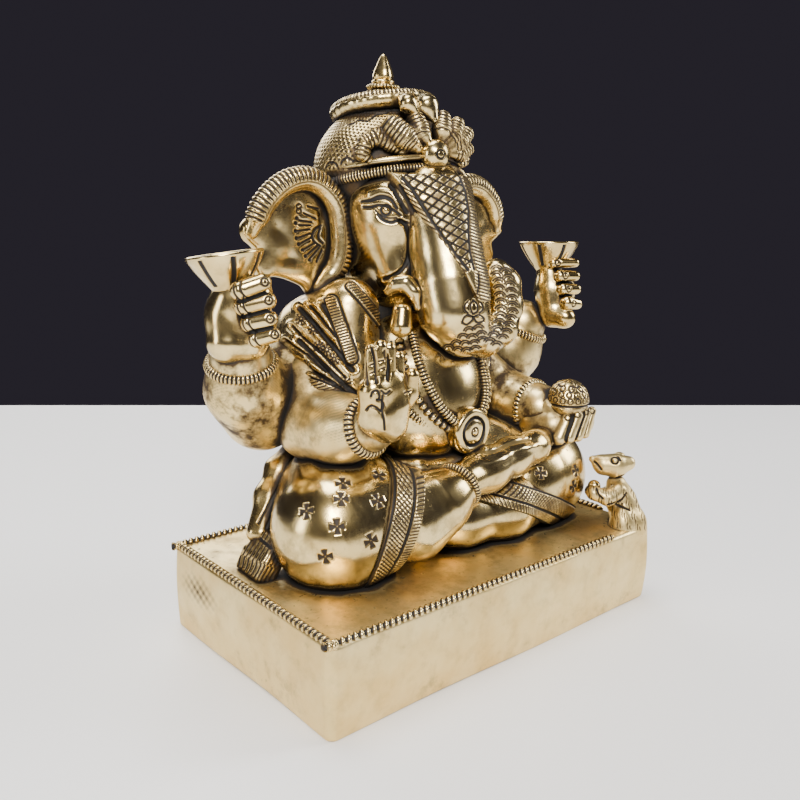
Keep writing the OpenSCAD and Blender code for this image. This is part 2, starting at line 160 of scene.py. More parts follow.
def ball(station):
    cx, cy, cz, r = (np.float32(value) for value in station)
    centre = np.array(station[:3])

    def distance(x, y, z):
        return np.sqrt((x - cx) ** 2 + (y - cy) ** 2 + (z - cz) ** 2) - r

    return Form(distance, centre - r, centre + r)


def bone(a, b):
    """A tapering rod with round ends, between two stations."""
    start, span = a[:3].astype(np.float32), (b[:3] - a[:3]).astype(np.float32)
    r0, grow = np.float32(a[3]), np.float32(b[3] - a[3])
    length2 = np.float32(max(np.dot(span, span), 1e-6))

    def distance(x, y, z):
        x, y, z = x - start[0], y - start[1], z - start[2]
        t = np.clip((x * span[0] + y * span[1] + z * span[2]) / length2, 0, 1)
        away = np.sqrt((x - t * span[0]) ** 2 + (y - t * span[1]) ** 2 + (z - t * span[2]) ** 2)
        return away - r0 - t * grow

    low = np.minimum(a[:3] - a[3], b[:3] - b[3])
    high = np.maximum(a[:3] + a[3], b[:3] + b[3])
    return Form(distance, low, high)


def turned_by(x_turn=0, y_turn=0, z_turn=0):
    """Rows are the turned x, y and z axes; the turns are in degrees."""
    ax, ay, az = np.radians([x_turn, y_turn, z_turn])
    rx = np.array([[1, 0, 0], [0, np.cos(ax), -np.sin(ax)], [0, np.sin(ax), np.cos(ax)]])
    ry = np.array([[np.cos(ay), 0, np.sin(ay)], [0, 1, 0], [-np.sin(ay), 0, np.cos(ay)]])
    rz = np.array([[np.cos(az), -np.sin(az), 0], [np.sin(az), np.cos(az), 0], [0, 0, 1]])
    return (rz @ ry @ rx).T


def egg(centre, radii, turns=(0, 0, 0)):
    """An ellipsoid with three radii, turned about x, y and z."""
    axes = turned_by(*turns).astype(np.float32)
    c = np.asarray(centre, np.float32)
    radii = np.asarray(radii, np.float32)

    def distance(x, y, z):
        x, y, z = x - c[0], y - c[1], z - c[2]
        u, v, w = (row[0] * x + row[1] * y + row[2] * z for row in axes)
        k0 = np.sqrt((u / radii[0]) ** 2 + (v / radii[1]) ** 2 + (w / radii[2]) ** 2)
        k1 = np.sqrt((u / radii[0] ** 2) ** 2 + (v / radii[1] ** 2) ** 2 + (w / radii[2] ** 2) ** 2)
        return k0 * (k0 - 1) / np.maximum(k1, 1e-6)

    reach = np.sqrt(((axes * radii[:, None]) ** 2).sum(axis=0))
    return Form(distance, c - reach, c + reach)


def slab(centre, size, turns=(0, 0, 0), round_edge=0.0):
    """A box with rounded edges, turned about x, y and z."""
    axes = turned_by(*turns).astype(np.float32)
    c = np.asarray(centre, np.float32)
    half = np.asarray(size, np.float32) / 2 - np.float32(round_edge)

    def distance(x, y, z):
        x, y, z = x - c[0], y - c[1], z - c[2]
        u, v, w = (np.abs(row[0] * x + row[1] * y + row[2] * z) - h for row, h in zip(axes, half))
        outside = np.sqrt(np.maximum(u, 0) ** 2 + np.maximum(v, 0) ** 2 + np.maximum(w, 0) ** 2)
        return outside + np.minimum(np.maximum(np.maximum(u, v), w), 0) - np.float32(round_edge)

    reach = (np.abs(axes) * np.asarray(size)[:, None] / 2).sum(axis=0)
    return Form(distance, c - reach, c + reach)


def melt(softness, *forms):
    """Forms joined like wax: the softness is how wide the join is, in millimetres."""
    k = np.float32(softness)

    def distance(x, y, z):
        d = forms[0](x, y, z)
        for form in forms[1:]:
            other = form(x, y, z)
            h = np.maximum(k - np.abs(d - other), 0) / k
            d = np.minimum(d, other) - h * h * k / 4
        return d

    low = np.min([form.low for form in forms], axis=0) - softness / 4
    high = np.max([form.high for form in forms], axis=0) + softness / 4
    return Form(distance, low, high)


def limb(stations, softness=3.0):
    return melt(softness, *[bone(a, b) for a, b in zip(stations, stations[1:])])


def web(softness, stations, joins):
    """Stations joined two by two; the joins are pairs of their numbers."""
    return melt(softness, *[bone(stations[a], stations[b]) for a, b in joins])


def rope(line, radius):
    """A plain rod along a line of points."""
    return limb([np.append(point, radius) for point in line], 1)


def ball_on(node, x, y, z, radius):
    """A ball given from the middle of a node's box."""
    return ball(np.append(place(node, x, y, z), radius))


def keep(form, tool, softness=0.6):
    """What a form and a tool share."""
    k = np.float32(softness)

    def distance(x, y, z):
        d, other = form(x, y, z), tool(x, y, z)
        h = np.maximum(k - np.abs(d - other), 0) / k
        return np.maximum(d, other) + h * h * k / 4

    return Form(distance, np.maximum(form.low, tool.low), np.minimum(form.high, tool.high))


def swell(form, extra):
    return Form(lambda x, y, z: form(x, y, z) - np.float32(extra), form.low - extra, form.high + extra)


def half_space(point, outward):
    """Everything behind a plane."""
    n, p = unit(outward).astype(np.float32), np.asarray(point, np.float32)

    def distance(x, y, z):
        return (x - p[0]) * n[0] + (y - p[1]) * n[1] + (z - p[2]) * n[2]

    return Form(distance, [-FAR] * 3, [FAR] * 3)


def above_plinth(form, sunk=0.4):
    floor = np.float32(plinth_high[2] - sunk)
    lowest = np.array([-FAR, -FAR, floor])
    return Form(lambda x, y, z: np.maximum(form(x, y, z), floor - z), np.maximum(form.low, lowest),
                form.high)


def other_side(form):
    """The mirror image across the middle of the figure."""
    low, high = form.low * [-1, 1, 1], form.high * [-1, 1, 1]
    return Form(lambda x, y, z: form(-x, y, z), np.minimum(low, high), np.maximum(low, high))


print("forms: ball, bone, egg, slab, limb; melt, keep, swell")

# %% [markdown]
# ## Chasing
#
# The chaser's punches push metal in and the dark wash stays in the cuts. A Chasing object holds
# both for every point of a piece: how far the surface moves along its normal, and how dark the
# cut is. Making the cuts in the mesh itself, and not in a bump texture, keeps them in the
# shape, and the same numbers then tell the brass where to turn black.

# %% Punches and charts
CUT_SOFT = 0.28


class Chasing:
    """Displacement and darkness for each point of one piece, in millimetres and 0 to 1."""

    def __init__(self, points, normals):
        self.p = points
        self.n = normals
        self.lift = np.zeros(len(points), np.float32)
        self.dark = np.zeros(len(points), np.float32)

    def groove(self, distance, width=0.8, depth=0.35, where=1.0, dark=1.0):
        amount = np.clip((width / 2 - distance) / CUT_SOFT + 0.5, 0, 1) * where
        self.lift -= (depth * amount).astype(np.float32)
        self.dark = np.maximum(self.dark, (dark * amount).astype(np.float32))

    def raise_by(self, height, where):
        self.lift += (height * where).astype(np.float32)

    def darken(self, amount):
        self.dark = np.maximum(self.dark, np.clip(amount, 0, 1).astype(np.float32))


class Chart:
    """A flat drawing surface laid on a piece: across, up, and how squarely the metal faces it."""

    def __init__(self, centre, towards, up=(0, 0, 1)):
        self.centre = np.asarray(centre, float)
        self.out = unit(towards)
        self.across = unit(np.cross(up, self.out))
        self.up = np.cross(self.out, self.across)

    def read(self, p, n):
        rel = p - self.centre
        return rel @ self.across, rel @ self.up, n @ self.out

    def __call__(self, chase):
        return self.read(chase.p, chase.n)


def in_mirror(chase, flip):
    """A piece's points and normals, seen across the middle of the figure when flip is -1."""
    return chase.p * [flip, 1, 1], chase.n * [flip, 1, 1]


def facing_eye(centre):
    return Chart(centre, EYE - centre)


def fade(value, low, high):
    """0 below low, 1 above high, smooth between."""
    t = np.clip((value - low) / (high - low), 0, 1)
    return t * t * (3 - 2 * t)


def band(value, low, high, soft=0.3):
    rise = fade(value, low - soft / 2, low + soft / 2)
    return rise * (1 - fade(value, high - soft / 2, high + soft / 2))


def to_ribs(value, pitch):
    """Distance to the nearest of a row of evenly spaced lines."""
    return np.abs((value / pitch + 0.5) % 1 - 0.5) * pitch


def to_line(u, v, points):
    """Distance to a drawn line through the points."""
    points = np.asarray(points, float)
    best = np.full(np.shape(u), 1e3)
    for a, b in zip(points, points[1:]):
        span = b - a
        t = np.clip(((u - a[0]) * span[0] + (v - a[1]) * span[1]) / max(span @ span, 1e-6), 0, 1)
        best = np.minimum(best, np.hypot(u - a[0] - t * span[0], v - a[1] - t * span[1]))
    return best


def to_arc(u, v, centre, radius, start=-180, end=180):
    """Distance to an arc; the angles are in degrees, anticlockwise from across."""
    du, dv = u - centre[0], v - centre[1]
    half = np.radians(end - start) / 2
    turn = (np.arctan2(dv, du) - np.radians(start) - half + np.pi) % (2 * np.pi) - np.pi
    over = np.maximum(np.abs(turn) - half, 0)
    return np.hypot(np.hypot(du, dv) - radius, over * radius)


def curve_through(points, count=24):
    """A smooth line through a few points, in any number of dimensions."""
    points = np.asarray(points, float)
    padded = np.vstack([2 * points[0] - points[1], points, 2 * points[-1] - points[-2]])
    t = np.linspace(0, 1, count, endpoint=False)[:, None]
    runs = []
    for a, b, c, d in zip(padded, padded[1:], padded[2:], padded[3:]):
        runs.append(0.5 * (2 * b + (c - a) * t + (2 * a - 5 * b + 4 * c - d) * t ** 2
                           + (3 * b - a - 3 * c + d) * t ** 3))
    return np.vstack(runs + [points[-1:]])


def drawn(u, v, points, count=6):
    """Distance to a smooth line drawn through the points."""
    return to_line(u, v, curve_through(points, count))


print("punches: groove, raise_by, stain; charts: across, up, facing")

# %% [markdown]
# ## Casting the pieces
#
# A piece is cast in three passes. A grid around the form is filled only near the surface, and
# OpenVDB lays a skin of quads on it. Each point then slides onto the true surface along the
# field's slope, which also gives an exact normal. Last, the piece's chasing is cut in. The
# grid is fine where there is engraving and coarser where the metal is plain.

# %% From a form to a skin
FINE = 0.27
PLAIN = 0.38
COARSE = 0.5
NEAR = 4
figure = {}


def slope(form, p):
    """Which way, and how fast, the distance grows at each point."""
    e = np.float32(0.05)
    x, y, z = p.T
    return np.stack([form(x + e, y, z) - form(x - e, y, z), form(x, y + e, z) - form(x, y - e, z),
                     form(x, y, z + e) - form(x, y, z - e)], axis=1) / (2 * e)


def skin(form, step):
    """Quads on a form's surface: points in millimetres, normals and faces."""
    low = form.low - 3 * step
    cells = (np.ceil((form.high + 3 * step - low) / step / NEAR).astype(int) + 1) * NEAR
    coarse = [(low[i] + (np.arange(cells[i] // NEAR) * NEAR + (NEAR - 1) / 2) * step).astype(np.float32)
              for i in range(3)]
    rough = form(coarse[0][:, None, None], coarse[1][None, :, None], coarse[2][None, None, :])
    rough = np.broadcast_to(rough, [len(c) for c in coarse])
    grid = np.where(rough < 0, -3 * step, 3 * step).astype(np.float32)
    near = np.abs(rough) < NEAR * step * 1.6
    for axis in range(3):
        grid = np.repeat(grid, NEAR, axis=axis)
        near = np.repeat(near, NEAR, axis=axis)
    i, j, k = np.nonzero(near)
    fine = [(low[axis] + index * step).astype(np.float32) for axis, index in enumerate((i, j, k))]
    grid[i, j, k] = np.clip(form(*fine), -3 * step, 3 * step)
    field = openvdb.FloatGrid(3 * step)
    field.copyFromArray(grid)
    field.gridClass = openvdb.GridClass.LEVEL_SET
    points, quads = field.convertToQuads(0.0)
    p = (low + points * step).astype(np.float32)
    for _ in range(2):
        g = slope(form, p)
        p = p - form(*p.T)[:, None] * g / np.maximum((g * g).sum(axis=1), 0.25)[:, None]
    g = slope(form, p)
    normals = g / np.maximum(np.linalg.norm(g, axis=1), 1e-6)[:, None]
    return p, normals, quads[:, ::-1]


class Piece:
    """One named piece waiting to be cast."""

    def __init__(self, form, step, chasing, metal):
        self.form, self.step, self.chasing, self.metal = form, step, chasing, metal
        self.skin = None


def cast(name, form, step, chasing=None, metal="polished"):
    """Sets a piece aside to be cast; it stands for the node of the same name."""
    figure[name] = Piece(form, step, chasing, metal)


def strand(path, radius, pitch=0.0, depth=0.25, sides=14, lean=0.0, rib=0.35, closed=False, taper=0.0,
           flat=None):
    """A cord through a few points, ribbed every pitch; rib is how wide each cut is."""
    line = curve_through(np.vstack([path, path[:1]]) if closed else path)
    steps = np.linalg.norm(np.diff(line, axis=0), axis=1)
    run = np.concatenate([[0], np.cumsum(steps)])
    length = run[-1]
    gap = (pitch / 7 if pitch else 0.5) * 1
    rings = max(int(length / gap), 8)
    along = np.linspace(0, length, rings, endpoint=not closed)
    centre = np.stack([np.interp(along, run, line[:, axis]) for axis in range(3)], axis=1)
    if closed:
        forward = np.roll(centre, -1, axis=0) - np.roll(centre, 1, axis=0)
    else:
        forward = np.gradient(centre, axis=0)
    forward /= np.linalg.norm(forward, axis=1)[:, None]
    out = centre - centre.mean(axis=0) if flat is None else np.asarray(flat, float)
    out = out - (out * forward).sum(axis=1)[:, None] * forward
    out /= np.maximum(np.linalg.norm(out, axis=1), 1e-6)[:, None]
    over = np.cross(forward, out)
    angle = np.linspace(0, 2 * np.pi, sides, endpoint=False)
    size = np.full(rings, float(radius))
    if pitch:
        whole = max(round(length / pitch), 1)
        phase = along[:, None] / length * whole * pitch + lean * np.sin(angle)[None, :] * radius
        cut_in = np.clip((rib / 2 - to_ribs(phase, pitch)) / (0.5 * rib) + 0.5, 0, 1)
    else:
        cut_in = np.zeros((rings, sides))
    if taper and not closed:
        size = size * np.sqrt(np.clip(np.minimum(along, length - along) / taper, 0.02, 1))
    r = size[:, None] - depth * cut_in
    p = centre[:, None, :] + r[:, :, None] * (np.cos(angle)[None, :, None] * out[:, None, :]
                                              + np.sin(angle)[None, :, None] * over[:, None, :])
    n = (p - centre[:, None, :]) / np.maximum(r, 1e-3)[:, :, None]
    a = np.arange(rings if closed else rings - 1)
    b = np.arange(sides)
    aa, bb = np.meshgrid(a, b, indexing="ij")
    a2, b2 = (aa + 1) % rings, (bb + 1) % sides
    faces = np.stack([aa * sides + bb, aa * sides + b2, a2 * sides + b2, a2 * sides + bb], axis=-1)
    faces = faces.reshape(-1, 4)
    p, n, dark = p.reshape(-1, 3), n.reshape(-1, 3), cut_in.reshape(-1)
    if not closed:
        tips = np.array([centre[0], centre[-1]])
        p, n = np.vstack([p, tips]), np.vstack([n, -forward[:1], forward[-1:]])
        dark = np.concatenate([dark, [0, 0]])
        first, last = len(p) - 2, len(p) - 1
        nose = np.stack([np.full(sides, first), (b + 1) % sides, b, b], axis=1)
        base = (rings - 1) * sides
        after = base + (b + 1) % sides
        tail = np.stack([np.full(sides, last), base + b, after, after], axis=1)
        faces = np.vstack([faces, nose, tail])
    return p.astype(np.float32), n.astype(np.float32), faces, dark.astype(np.float32)


def turned(centre, axis, profile, sides=96, wobble=None):
    """A piece turned on a lathe: the profile's points are (radius, height) along the axis."""
    axis = unit(axis)
    u = unit(np.cross(axis, [0, 0, 1] if abs(axis[2]) < 0.9 else [1, 0, 0]))
    v = np.cross(axis, u)
    profile = curve_through(profile, 8)
    angle = np.linspace(0, 2 * np.pi, sides, endpoint=False)
    r, h = profile[:, :1], profile[:, 1:]
    dark = np.zeros((len(profile), sides))
    scale = np.ones((len(profile), sides))
    if wobble:
        scale, dark = wobble(angle[None, :], np.broadcast_to(r, dark.shape),
                             np.broadcast_to(h, dark.shape))
    ring = np.cos(angle)[:, None] * u + np.sin(angle)[:, None] * v
    p = np.asarray(centre) + (r * scale)[:, :, None] * ring[None] + h[:, :, None] * axis
    slope_r, slope_h = np.gradient(profile[:, 0]), np.gradient(profile[:, 1])
    n = slope_h[:, None, None] * ring[None] - slope_r[:, None, None] * axis
    n /= np.maximum(np.linalg.norm(n, axis=2), 1e-6)[:, :, None]
    rows, b = np.meshgrid(np.arange(len(profile) - 1), np.arange(sides), indexing="ij")
    b2 = (b + 1) % sides
    faces = np.stack([rows * sides + b, rows * sides + b2, (rows + 1) * sides + b2,
                      (rows + 1) * sides + b],
                     axis=-1).reshape(-1, 4)
    p, n = p.reshape(-1, 3).astype(np.float32), n.reshape(-1, 3).astype(np.float32)
    return p, n, faces, dark.reshape(-1).astype(np.float32)


def normals_of(p, faces):
    """Point normals from the faces round each point."""
    across = np.cross(p[faces[:, 2]] - p[faces[:, 0]], p[faces[:, 3]] - p[faces[:, 1]])
    n = np.zeros(p.shape)
    for corner in range(4):
        np.add.at(n, faces[:, corner], across)
    return (n / np.maximum(np.linalg.norm(n, axis=1), 1e-9)[:, None]).astype(np.float32)


def set_aside(name, parts, form=None, metal="engraved"):
    """Keeps ready-made skins, joined into one piece; the form is the metal under them."""
    piece = Piece(form, None, None, metal)
    p, n, faces, dark, start = [], [], [], [], 0
    for part in parts:
        p.append(part[0])
        n.append(normals_of(part[0], part[2]) if part[1] is None else part[1])
        faces.append(part[2] + start)
        dark.append(part[3])
        start += len(part[0])
    piece.skin = (np.vstack(p), np.vstack(n), np.vstack(faces), np.concatenate(dark))
    figure[name] = piece


print("casting at %.2f mm where engraved, %.2f mm where plain" % (FINE, PLAIN))

# %% [markdown]
# ## The plinth
#
# The plinth is a hollow oblong box cast with the figure and filed by hand, so its sides belly
# out a little and its lower edge is not quite straight. A box primitive would give sharp,
# dead-flat faces. Here loops of points are laid round the outline, down the sides and up the
# inside, and each point is eased off the true box by a millimetre or less.

# %% Plinth
PLINTH_CORNER = 2.0
PLINTH_WALL = 3.0
PLINTH_EDGE = 0.9
PLINTH_BELLY = 0.9
plinth_gap = 0.62


def oblong_grid(inset, height):
    """A grid of points filling the plinth's outline, its corners pulled in to a radius."""
    half = plinth_size[:2] / 2 - inset
    corner = max(PLINTH_CORNER - inset, 0.6)
    counts = [int(plinth_size[axis] / plinth_gap) for axis in (0, 1)]
    x, y = np.meshgrid(*[np.linspace(-half[i], half[i], counts[i] + 1) for i in (0, 1)], indexing="ij")
    a = np.clip((np.abs(x) - half[0] + corner) / corner, 0, 1)
    b = np.clip((np.abs(y) - half[1] + corner) / corner, 0, 1)
    x = x - np.sign(x) * corner * a * (1 - np.sqrt(1 - b * b / 2))
    y = y - np.sign(y) * corner * b * (1 - np.sqrt(1 - a * a / 2))
    return np.stack([x, y, np.full_like(x, height)], axis=-1)


def rim_of(grid):
    """The grid's edge, walked once round anticlockwise."""
    return np.vstack([grid[:-1, 0], grid[-1, :-1], grid[:0:-1, -1], grid[0, :0:-1]])


def plinth_skin():
    h = plinth_size[2]
    top = oblong_grid(PLINTH_EDGE, h)
    ceiling = oblong_grid(PLINTH_WALL, h - PLINTH_WALL)
    levels = [(PLINTH_EDGE * (1 - np.sin(t)),
               h - PLINTH_EDGE * (1 - np.cos(t))) for t in np.radians([25, 50, 75, 90])]
    levels += [(0, z) for z in np.arange(h - PLINTH_EDGE - plinth_gap, PLINTH_EDGE, -plinth_gap)]
    levels += [(0.5 - 0.5 * np.cos(t), 0.5 - 0.5 * np.sin(t)) for t in np.radians([0, 45, 90])]
    levels += [(PLINTH_WALL - 0.4, 0), (PLINTH_WALL, 0.4)]
    levels += [(PLINTH_WALL, z) for z in np.arange(1.5, h - PLINTH_WALL - 0.7, 2.0)]
    n, m = top.shape[:2]
    grid_index = np.arange(n * m).reshape(n, m)
    quad = lambda g: np.stack([g[:-1, :-1], g[1:, :-1], g[1:, 1:], g[:-1, 1:]], axis=-1).reshape(-1, 4)
    points, faces = [top.reshape(-1, 3)], [quad(grid_index)]
    previous = rim_of(grid_index[..., None])[:, 0]
    start = n * m
    for inset, z in levels:
        loop = rim_of(oblong_grid(inset, z))
        here = np.arange(len(loop)) + start
        faces.append(np.stack([previous, here, np.roll(here, -1), np.roll(previous, -1)], axis=1))
        points.append(loop)
        previous, start = here, start + len(loop)
    under = grid_index + start
    inner = rim_of(under[..., None])[:, 0]
    faces.append(np.stack([previous, inner, np.roll(inner, -1), np.roll(previous, -1)], axis=1))
    faces.append(quad(under)[:, ::-1])
    points.append(ceiling.reshape(-1, 3))
    p = np.vstack(points)
    # the sides belly out, and the file has left slow waves in them
    outer = (np.abs(p[:, 0]) > plinth_size[0] / 2 - 1.2) | (np.abs(p[:, 1]) > plinth_size[1] / 2 - 1.2)
    belly = np.sin(np.pi * np.clip(p[:, 2] / h, 0, 1)) * PLINTH_BELLY
    slow_waves = 0.22 * np.sin(p[:, 0] / 11 + 1) * np.sin(p[:, 1] / 9)
    waves = slow_waves + 0.12 * np.sin(p[:, 0] / 4.1) * np.sin(p[:, 2] / 5)
    push = np.where(outer, belly * 0.8 + waves, 0)
    side_x = np.abs(p[:, 0]) > plinth_size[0] / 2 - 0.6
    p[:, 0] += np.where(side_x, np.sign(p[:, 0]) * push, 0)
    p[:, 1] += np.where(~side_x, np.sign(p[:, 1]) * push, 0)
    low_edge = outer & (p[:, 2] < 1.2)
    p[:, 2] += np.where(low_edge, 0.2 + 0.2 * np.sin(p[:, 0] / 13) * np.cos(p[:, 1] / 10), 0)
    p[:, 2] += np.where(p[:, 2] > h - 0.01, 0.12 * np.sin(p[:, 0] / 9 + 2) * np.sin(p[:, 1] / 7), 0)
    p[:, :2] += (plinth_low + plinth_high)[:2] / 2
    # a patch of painted shade, broken into blots, high on the side to the figure's right
    patch = np.exp(-((p[:, 1] - 21) / 8) ** 2 - ((p[:, 2] - 15) / 3.5) ** 2)
    patch = patch * (p[:, 0] < plinth_low[0] + 1.5)
    blots = 0.5 + 0.5 * np.sin(p[:, 1] * 1.9 + 1) * np.sin(p[:, 2] * 2.3 + p[:, 1] * 0.7)
    return p.astype(np.float32), None, np.vstack(faces), (0.55 * patch * blots).astype(np.float32)


set_aside("plinth", [plinth_skin()], slab((plinth_low + plinth_high) / 2, plinth_size, round_edge=1),
          "filed")
print("plinth: %d points" % len(figure["plinth"].skin[0]))

# %% [markdown]
# A beaded cord runs round the top edge and stops at the mouse's corner. Each bead is a short
# rib pinched on both sides, so one long strand with deep, evenly spaced cuts gives them all.

# %% Beaded border
BEAD_PITCH = 1.75
edge_x, edge_y = plinth_high[0] - 0.95, plinth_high[1] - 0.95
mouse_x, mouse_y = place("mouse_body", -1.8, -1, -30.1)[:2]
border_path = [[edge_x, mouse_y + 9.5, 0], [edge_x, 5, 0], [edge_x, edge_y - 2.5, 0],
               [edge_x - 0.7, edge_y - 0.7, 0], [edge_x - 2.5, edge_y, 0], [0, edge_y, 0],
               [2.5 - edge_x, edge_y, 0], [0.7 - edge_x, edge_y - 0.7, 0], [-edge_x, edge_y - 2.5, 0],
               [-edge_x, 0, 0], [-edge_x, 2.5 - edge_y, 0], [0.7 - edge_x, 0.7 - edge_y, 0],
               [2.5 - edge_x, -edge_y, 0], [0, -edge_y, 0], [mouse_x - 7, -edge_y, 0]]
border_path = np.array(border_path) + [0, 0, plinth_high[2] + 0.15]
set_aside("beaded_border", [strand(border_path, 1.12, BEAD_PITCH, 0.6, 12, 0.35, rib=0.75,
                                   flat=(0, 0, 1), taper=1.2)], metal="engraved")
print("border: %.0f mm of beads" % np.linalg.norm(np.diff(border_path, axis=0), axis=1).sum())

# %% [markdown]
# ## The mouse
#
# The mouse stands on the front corner, its back to the outside, and looks at the figure. It is
# soft and blunt: a column of a body that runs down into the plinth's own corner, a flat-topped
# wedge of a head with knobs for ears, and two arms holding out a sweet.

# %% Mouse
mouse_column = limb(on("mouse_body", [(4.3, -4.4, -12.1, 4.6), (4.5, -3, -6.9, 4.5),
                                      (3.6, -0.1, -0.5, 3.9), (3.1, 1.7, 4.1, 2.9)]), 3)
mouse_arms = [limb(on("mouse_body", line), 1.5) for line in (
    [(0.7, -1.2, 3.2, 2.3), (-3.3, -0.3, 1.6, 2.1), (-6.2, 2.7, 2.9, 2.2)],
    [(6.3, 4.8, 1, 2.1), (2.9, 5.8, -0.8, 1.9), (-2.8, 6.2, 1.9, 1.9)])]
mouse_haunch = egg(place("mouse_body", 0.3, -3.6, -7.6), (4.0, 4.0, 6.5), (0, 0, -41))
mouse_form = keep(melt(1.6, mouse_column, mouse_haunch, *mouse_arms),
                  half_space(plinth_high - [0, 0, 2.5], (0, 0, -1)))
mouse_chart = facing_eye(place("mouse_body", -1.8, -1.3, 2.5))
mouse_line = on("mouse_head", [(-5.3, 4.3, 1.2, 1.1), (-3.1, 2, -0.2, 3.1), (-0.5, -0.4, -0.4, 4.0)])
mouse_snout = limb(mouse_line, 1)
mouse_ears = [ball_on("mouse_head", 2.1, -3.1, 0.4, 2.2), ball_on("mouse_head", 5.6, 2.5, -0.1, 2.0)]
flat_crown = half_space(place("mouse_head", -0.7, 0.8, 2.9), (0.05, 0.1, 1))
mouse_head_form = keep(melt(1.2, mouse_snout, *mouse_ears), flat_crown, 1.0)

EYE_AT = (-0.6, 10.1)
MOUTH = [(-6.5, 9.2), (-5.6, 8.5), (-4.3, 7.1)]
CHIN = [(-4.1, 4.8), (-1.2, 4.4), (1.2, 5.4), (3.1, 6.4)]
EAR_NOTCH = [(0.2, 11.4), (1.1, 10.3)]
ARM_UNDER = [(3.6, 1.0), (2.3, -1.2), (0.5, -2.3), (-1.5, -3.1)]
HAUNCH_TOP = [(0.8, -2.8), (2.8, -3.2), (4.8, -3.8)]
HAND_LINE = [(-5.0, 1.5), (-4.3, -0.2), (-3.0, -1.5)]


def mouse_fur(chase):
    u, v, facing = mouse_chart(chase)
    front = fade(facing, 0.1, 0.4)
    for line, width in ((ARM_UNDER, 0.5), (HAUNCH_TOP, 0.6), (HAND_LINE, 0.45)):
        chase.groove(drawn(u, v, line, 5), width, 0.5, front)
    broken = fade(np.sin(u * 2.3 + v * 1.1) + 0.6 * np.sin(v * 1.9), -0.3, 0.4)
    chase.groove(to_ribs(u + 0.12 * v + 0.12 * np.sin(v * 2), 0.72), 0.24, 0.14,
                 front * broken * band(v, -9.5, 3.2), dark=0.8)
    rear = fade(-facing, -0.2, 0.3)
    chase.groove(to_ribs(u + 0.15 * v, 1.1), 0.26, 0.14, rear * broken * band(v, -9, 3), dark=0.5)


def mouse_features(chase):
    u, v, facing = mouse_chart(chase)
    front = fade(facing, 0.0, 0.3)
    eye = np.hypot(u - EYE_AT[0], v - EYE_AT[1])
    chase.groove(np.abs(eye - 1.0), 0.5, 0.3, front)
    chase.raise_by(0.35, front * (1 - fade(eye, 0.2, 0.9)))
    for line, width in ((MOUTH, 0.6), (CHIN, 0.6), (EAR_NOTCH, 0.6)):
        chase.groove(drawn(u, v, line, 5), width, 0.4, front)


cast("mouse_body", mouse_form, FINE, mouse_fur, "filed")
cast("mouse_head", mouse_head_form, FINE * 0.8, mouse_features, "filed")
cast("mouse_sweet", ball_on("mouse_sweet", 0.3, 0.3, -0.6, 1.9), FINE, None, "engraved")

# %% [markdown]
# ## Legs and cloth
#
# The figure sits cross-legged in a dhoti, a cloth wrapped round each thigh. The cloth is drawn
# tight, so a thigh is one full egg shape with small punched crosses, and it ends in a patterned
# hem where the bare shin comes out. A cross is four wedges round a point; each one is laid on
# the surface where the chaser would have stood the punch.

# %% Thighs
CROSS_REACH = 1.75
APPROACH = 45
APPROACH_STEPS = 70


def on_surface(form, chart, u, v):
    """The point and normal of the form under a place on a chart, or None where it misses."""
    spot = chart.centre + u * chart.across + v * chart.up
    way = unit(spot - EYE)
    spot = spot - APPROACH * way
    for _ in range(APPROACH_STEPS):
        gap = float(form(*spot.astype(np.float32)[:, None])[0])
        spot = spot + way * gap * 0.9
    return (spot, unit(slope(form, spot.astype(np.float32)[None])[0])) if abs(gap) < 0.05 else None


def punch_axes(chase, spot, normal, turn):
    """Flat coordinates on the surface round a punch mark, and where they hold."""
    across = unit(np.cross([0, 0, 1], normal))
    up = np.cross(normal, across)
    rel = chase.p - spot
    u, v = rel @ across, rel @ up
    c, s = np.cos(np.radians(turn)), np.sin(np.radians(turn))
    return c * u + s * v, c * v - s * u, (np.abs(rel @ normal) < 3) & (chase.n @ normal > 0.2)


def cross_punch(chase, spot, normal, turn):
    u, v, near = punch_axes(chase, spot, normal, turn)
    long, wide = np.maximum(np.abs(u), np.abs(v)), np.minimum(np.abs(u), np.abs(v))
    wedge = np.maximum(np.maximum(wide - 0.1 - 0.36 * long, long - CROSS_REACH), 0.25 - long)
    chase.groove(np.maximum(wedge, 0), 0.12, 0.4, near)


def thigh(node, hip, middle_station, knee, knee_under, shin_side):
    """A thigh from three stations, filled under the knee on the shin's side."""
    upper = limb(on(node, [hip, middle_station, knee]), 5)
    return above_plinth(melt(5, upper, limb(on(node, [knee_under, shin_side]), 3)))


right_thigh = thigh("right_thigh", (10.8, 9.5, -0.2, 16), (-3.2, -0.5, -1.2, 16), (-11.2, -9.5, -2.2, 15.5),
                    (-11.2, -9.5, -4.2, 15), (-2.2, -13.5, -0.7, 13))
left_thigh = thigh("left_thigh", (-14.1, 9.7, -0.2, 16), (1.9, -0.3, -1.2, 16), (11.9, -9.3, -2.2, 15.5),
                   (11.9, -9.3, -4.2, 15), (2.9, -13.3, -3.2, 12.5))
right_knee = facing_eye(place("right_thigh", -18.2, -21.5, -0.2))
left_knee = facing_eye(place("left_thigh", 10.9, -23.3, -2.2))
RIGHT_CROSSES = [(-1.4, 2.5), (6.7, -0.8), (-0.5, 9.1), (8.3, 8.7), (-0.1, 12.9), (8.5, 14.8),
                 (-8.8, 6.2), (-4.1, -4.5)]
LEFT_CROSSES = [(-7.0, 2.2), (3.0, 3.7), (2.7, -1.0)]


def thigh_crosses(form, chart, places, turns):
    marks = [(on_surface(form, chart, u, v), turn) for (u, v), turn in zip(places, turns)]

    def chasing(chase):
        for mark, turn in marks:
            if mark:
                cross_punch(chase, *mark, turn)
    return chasing


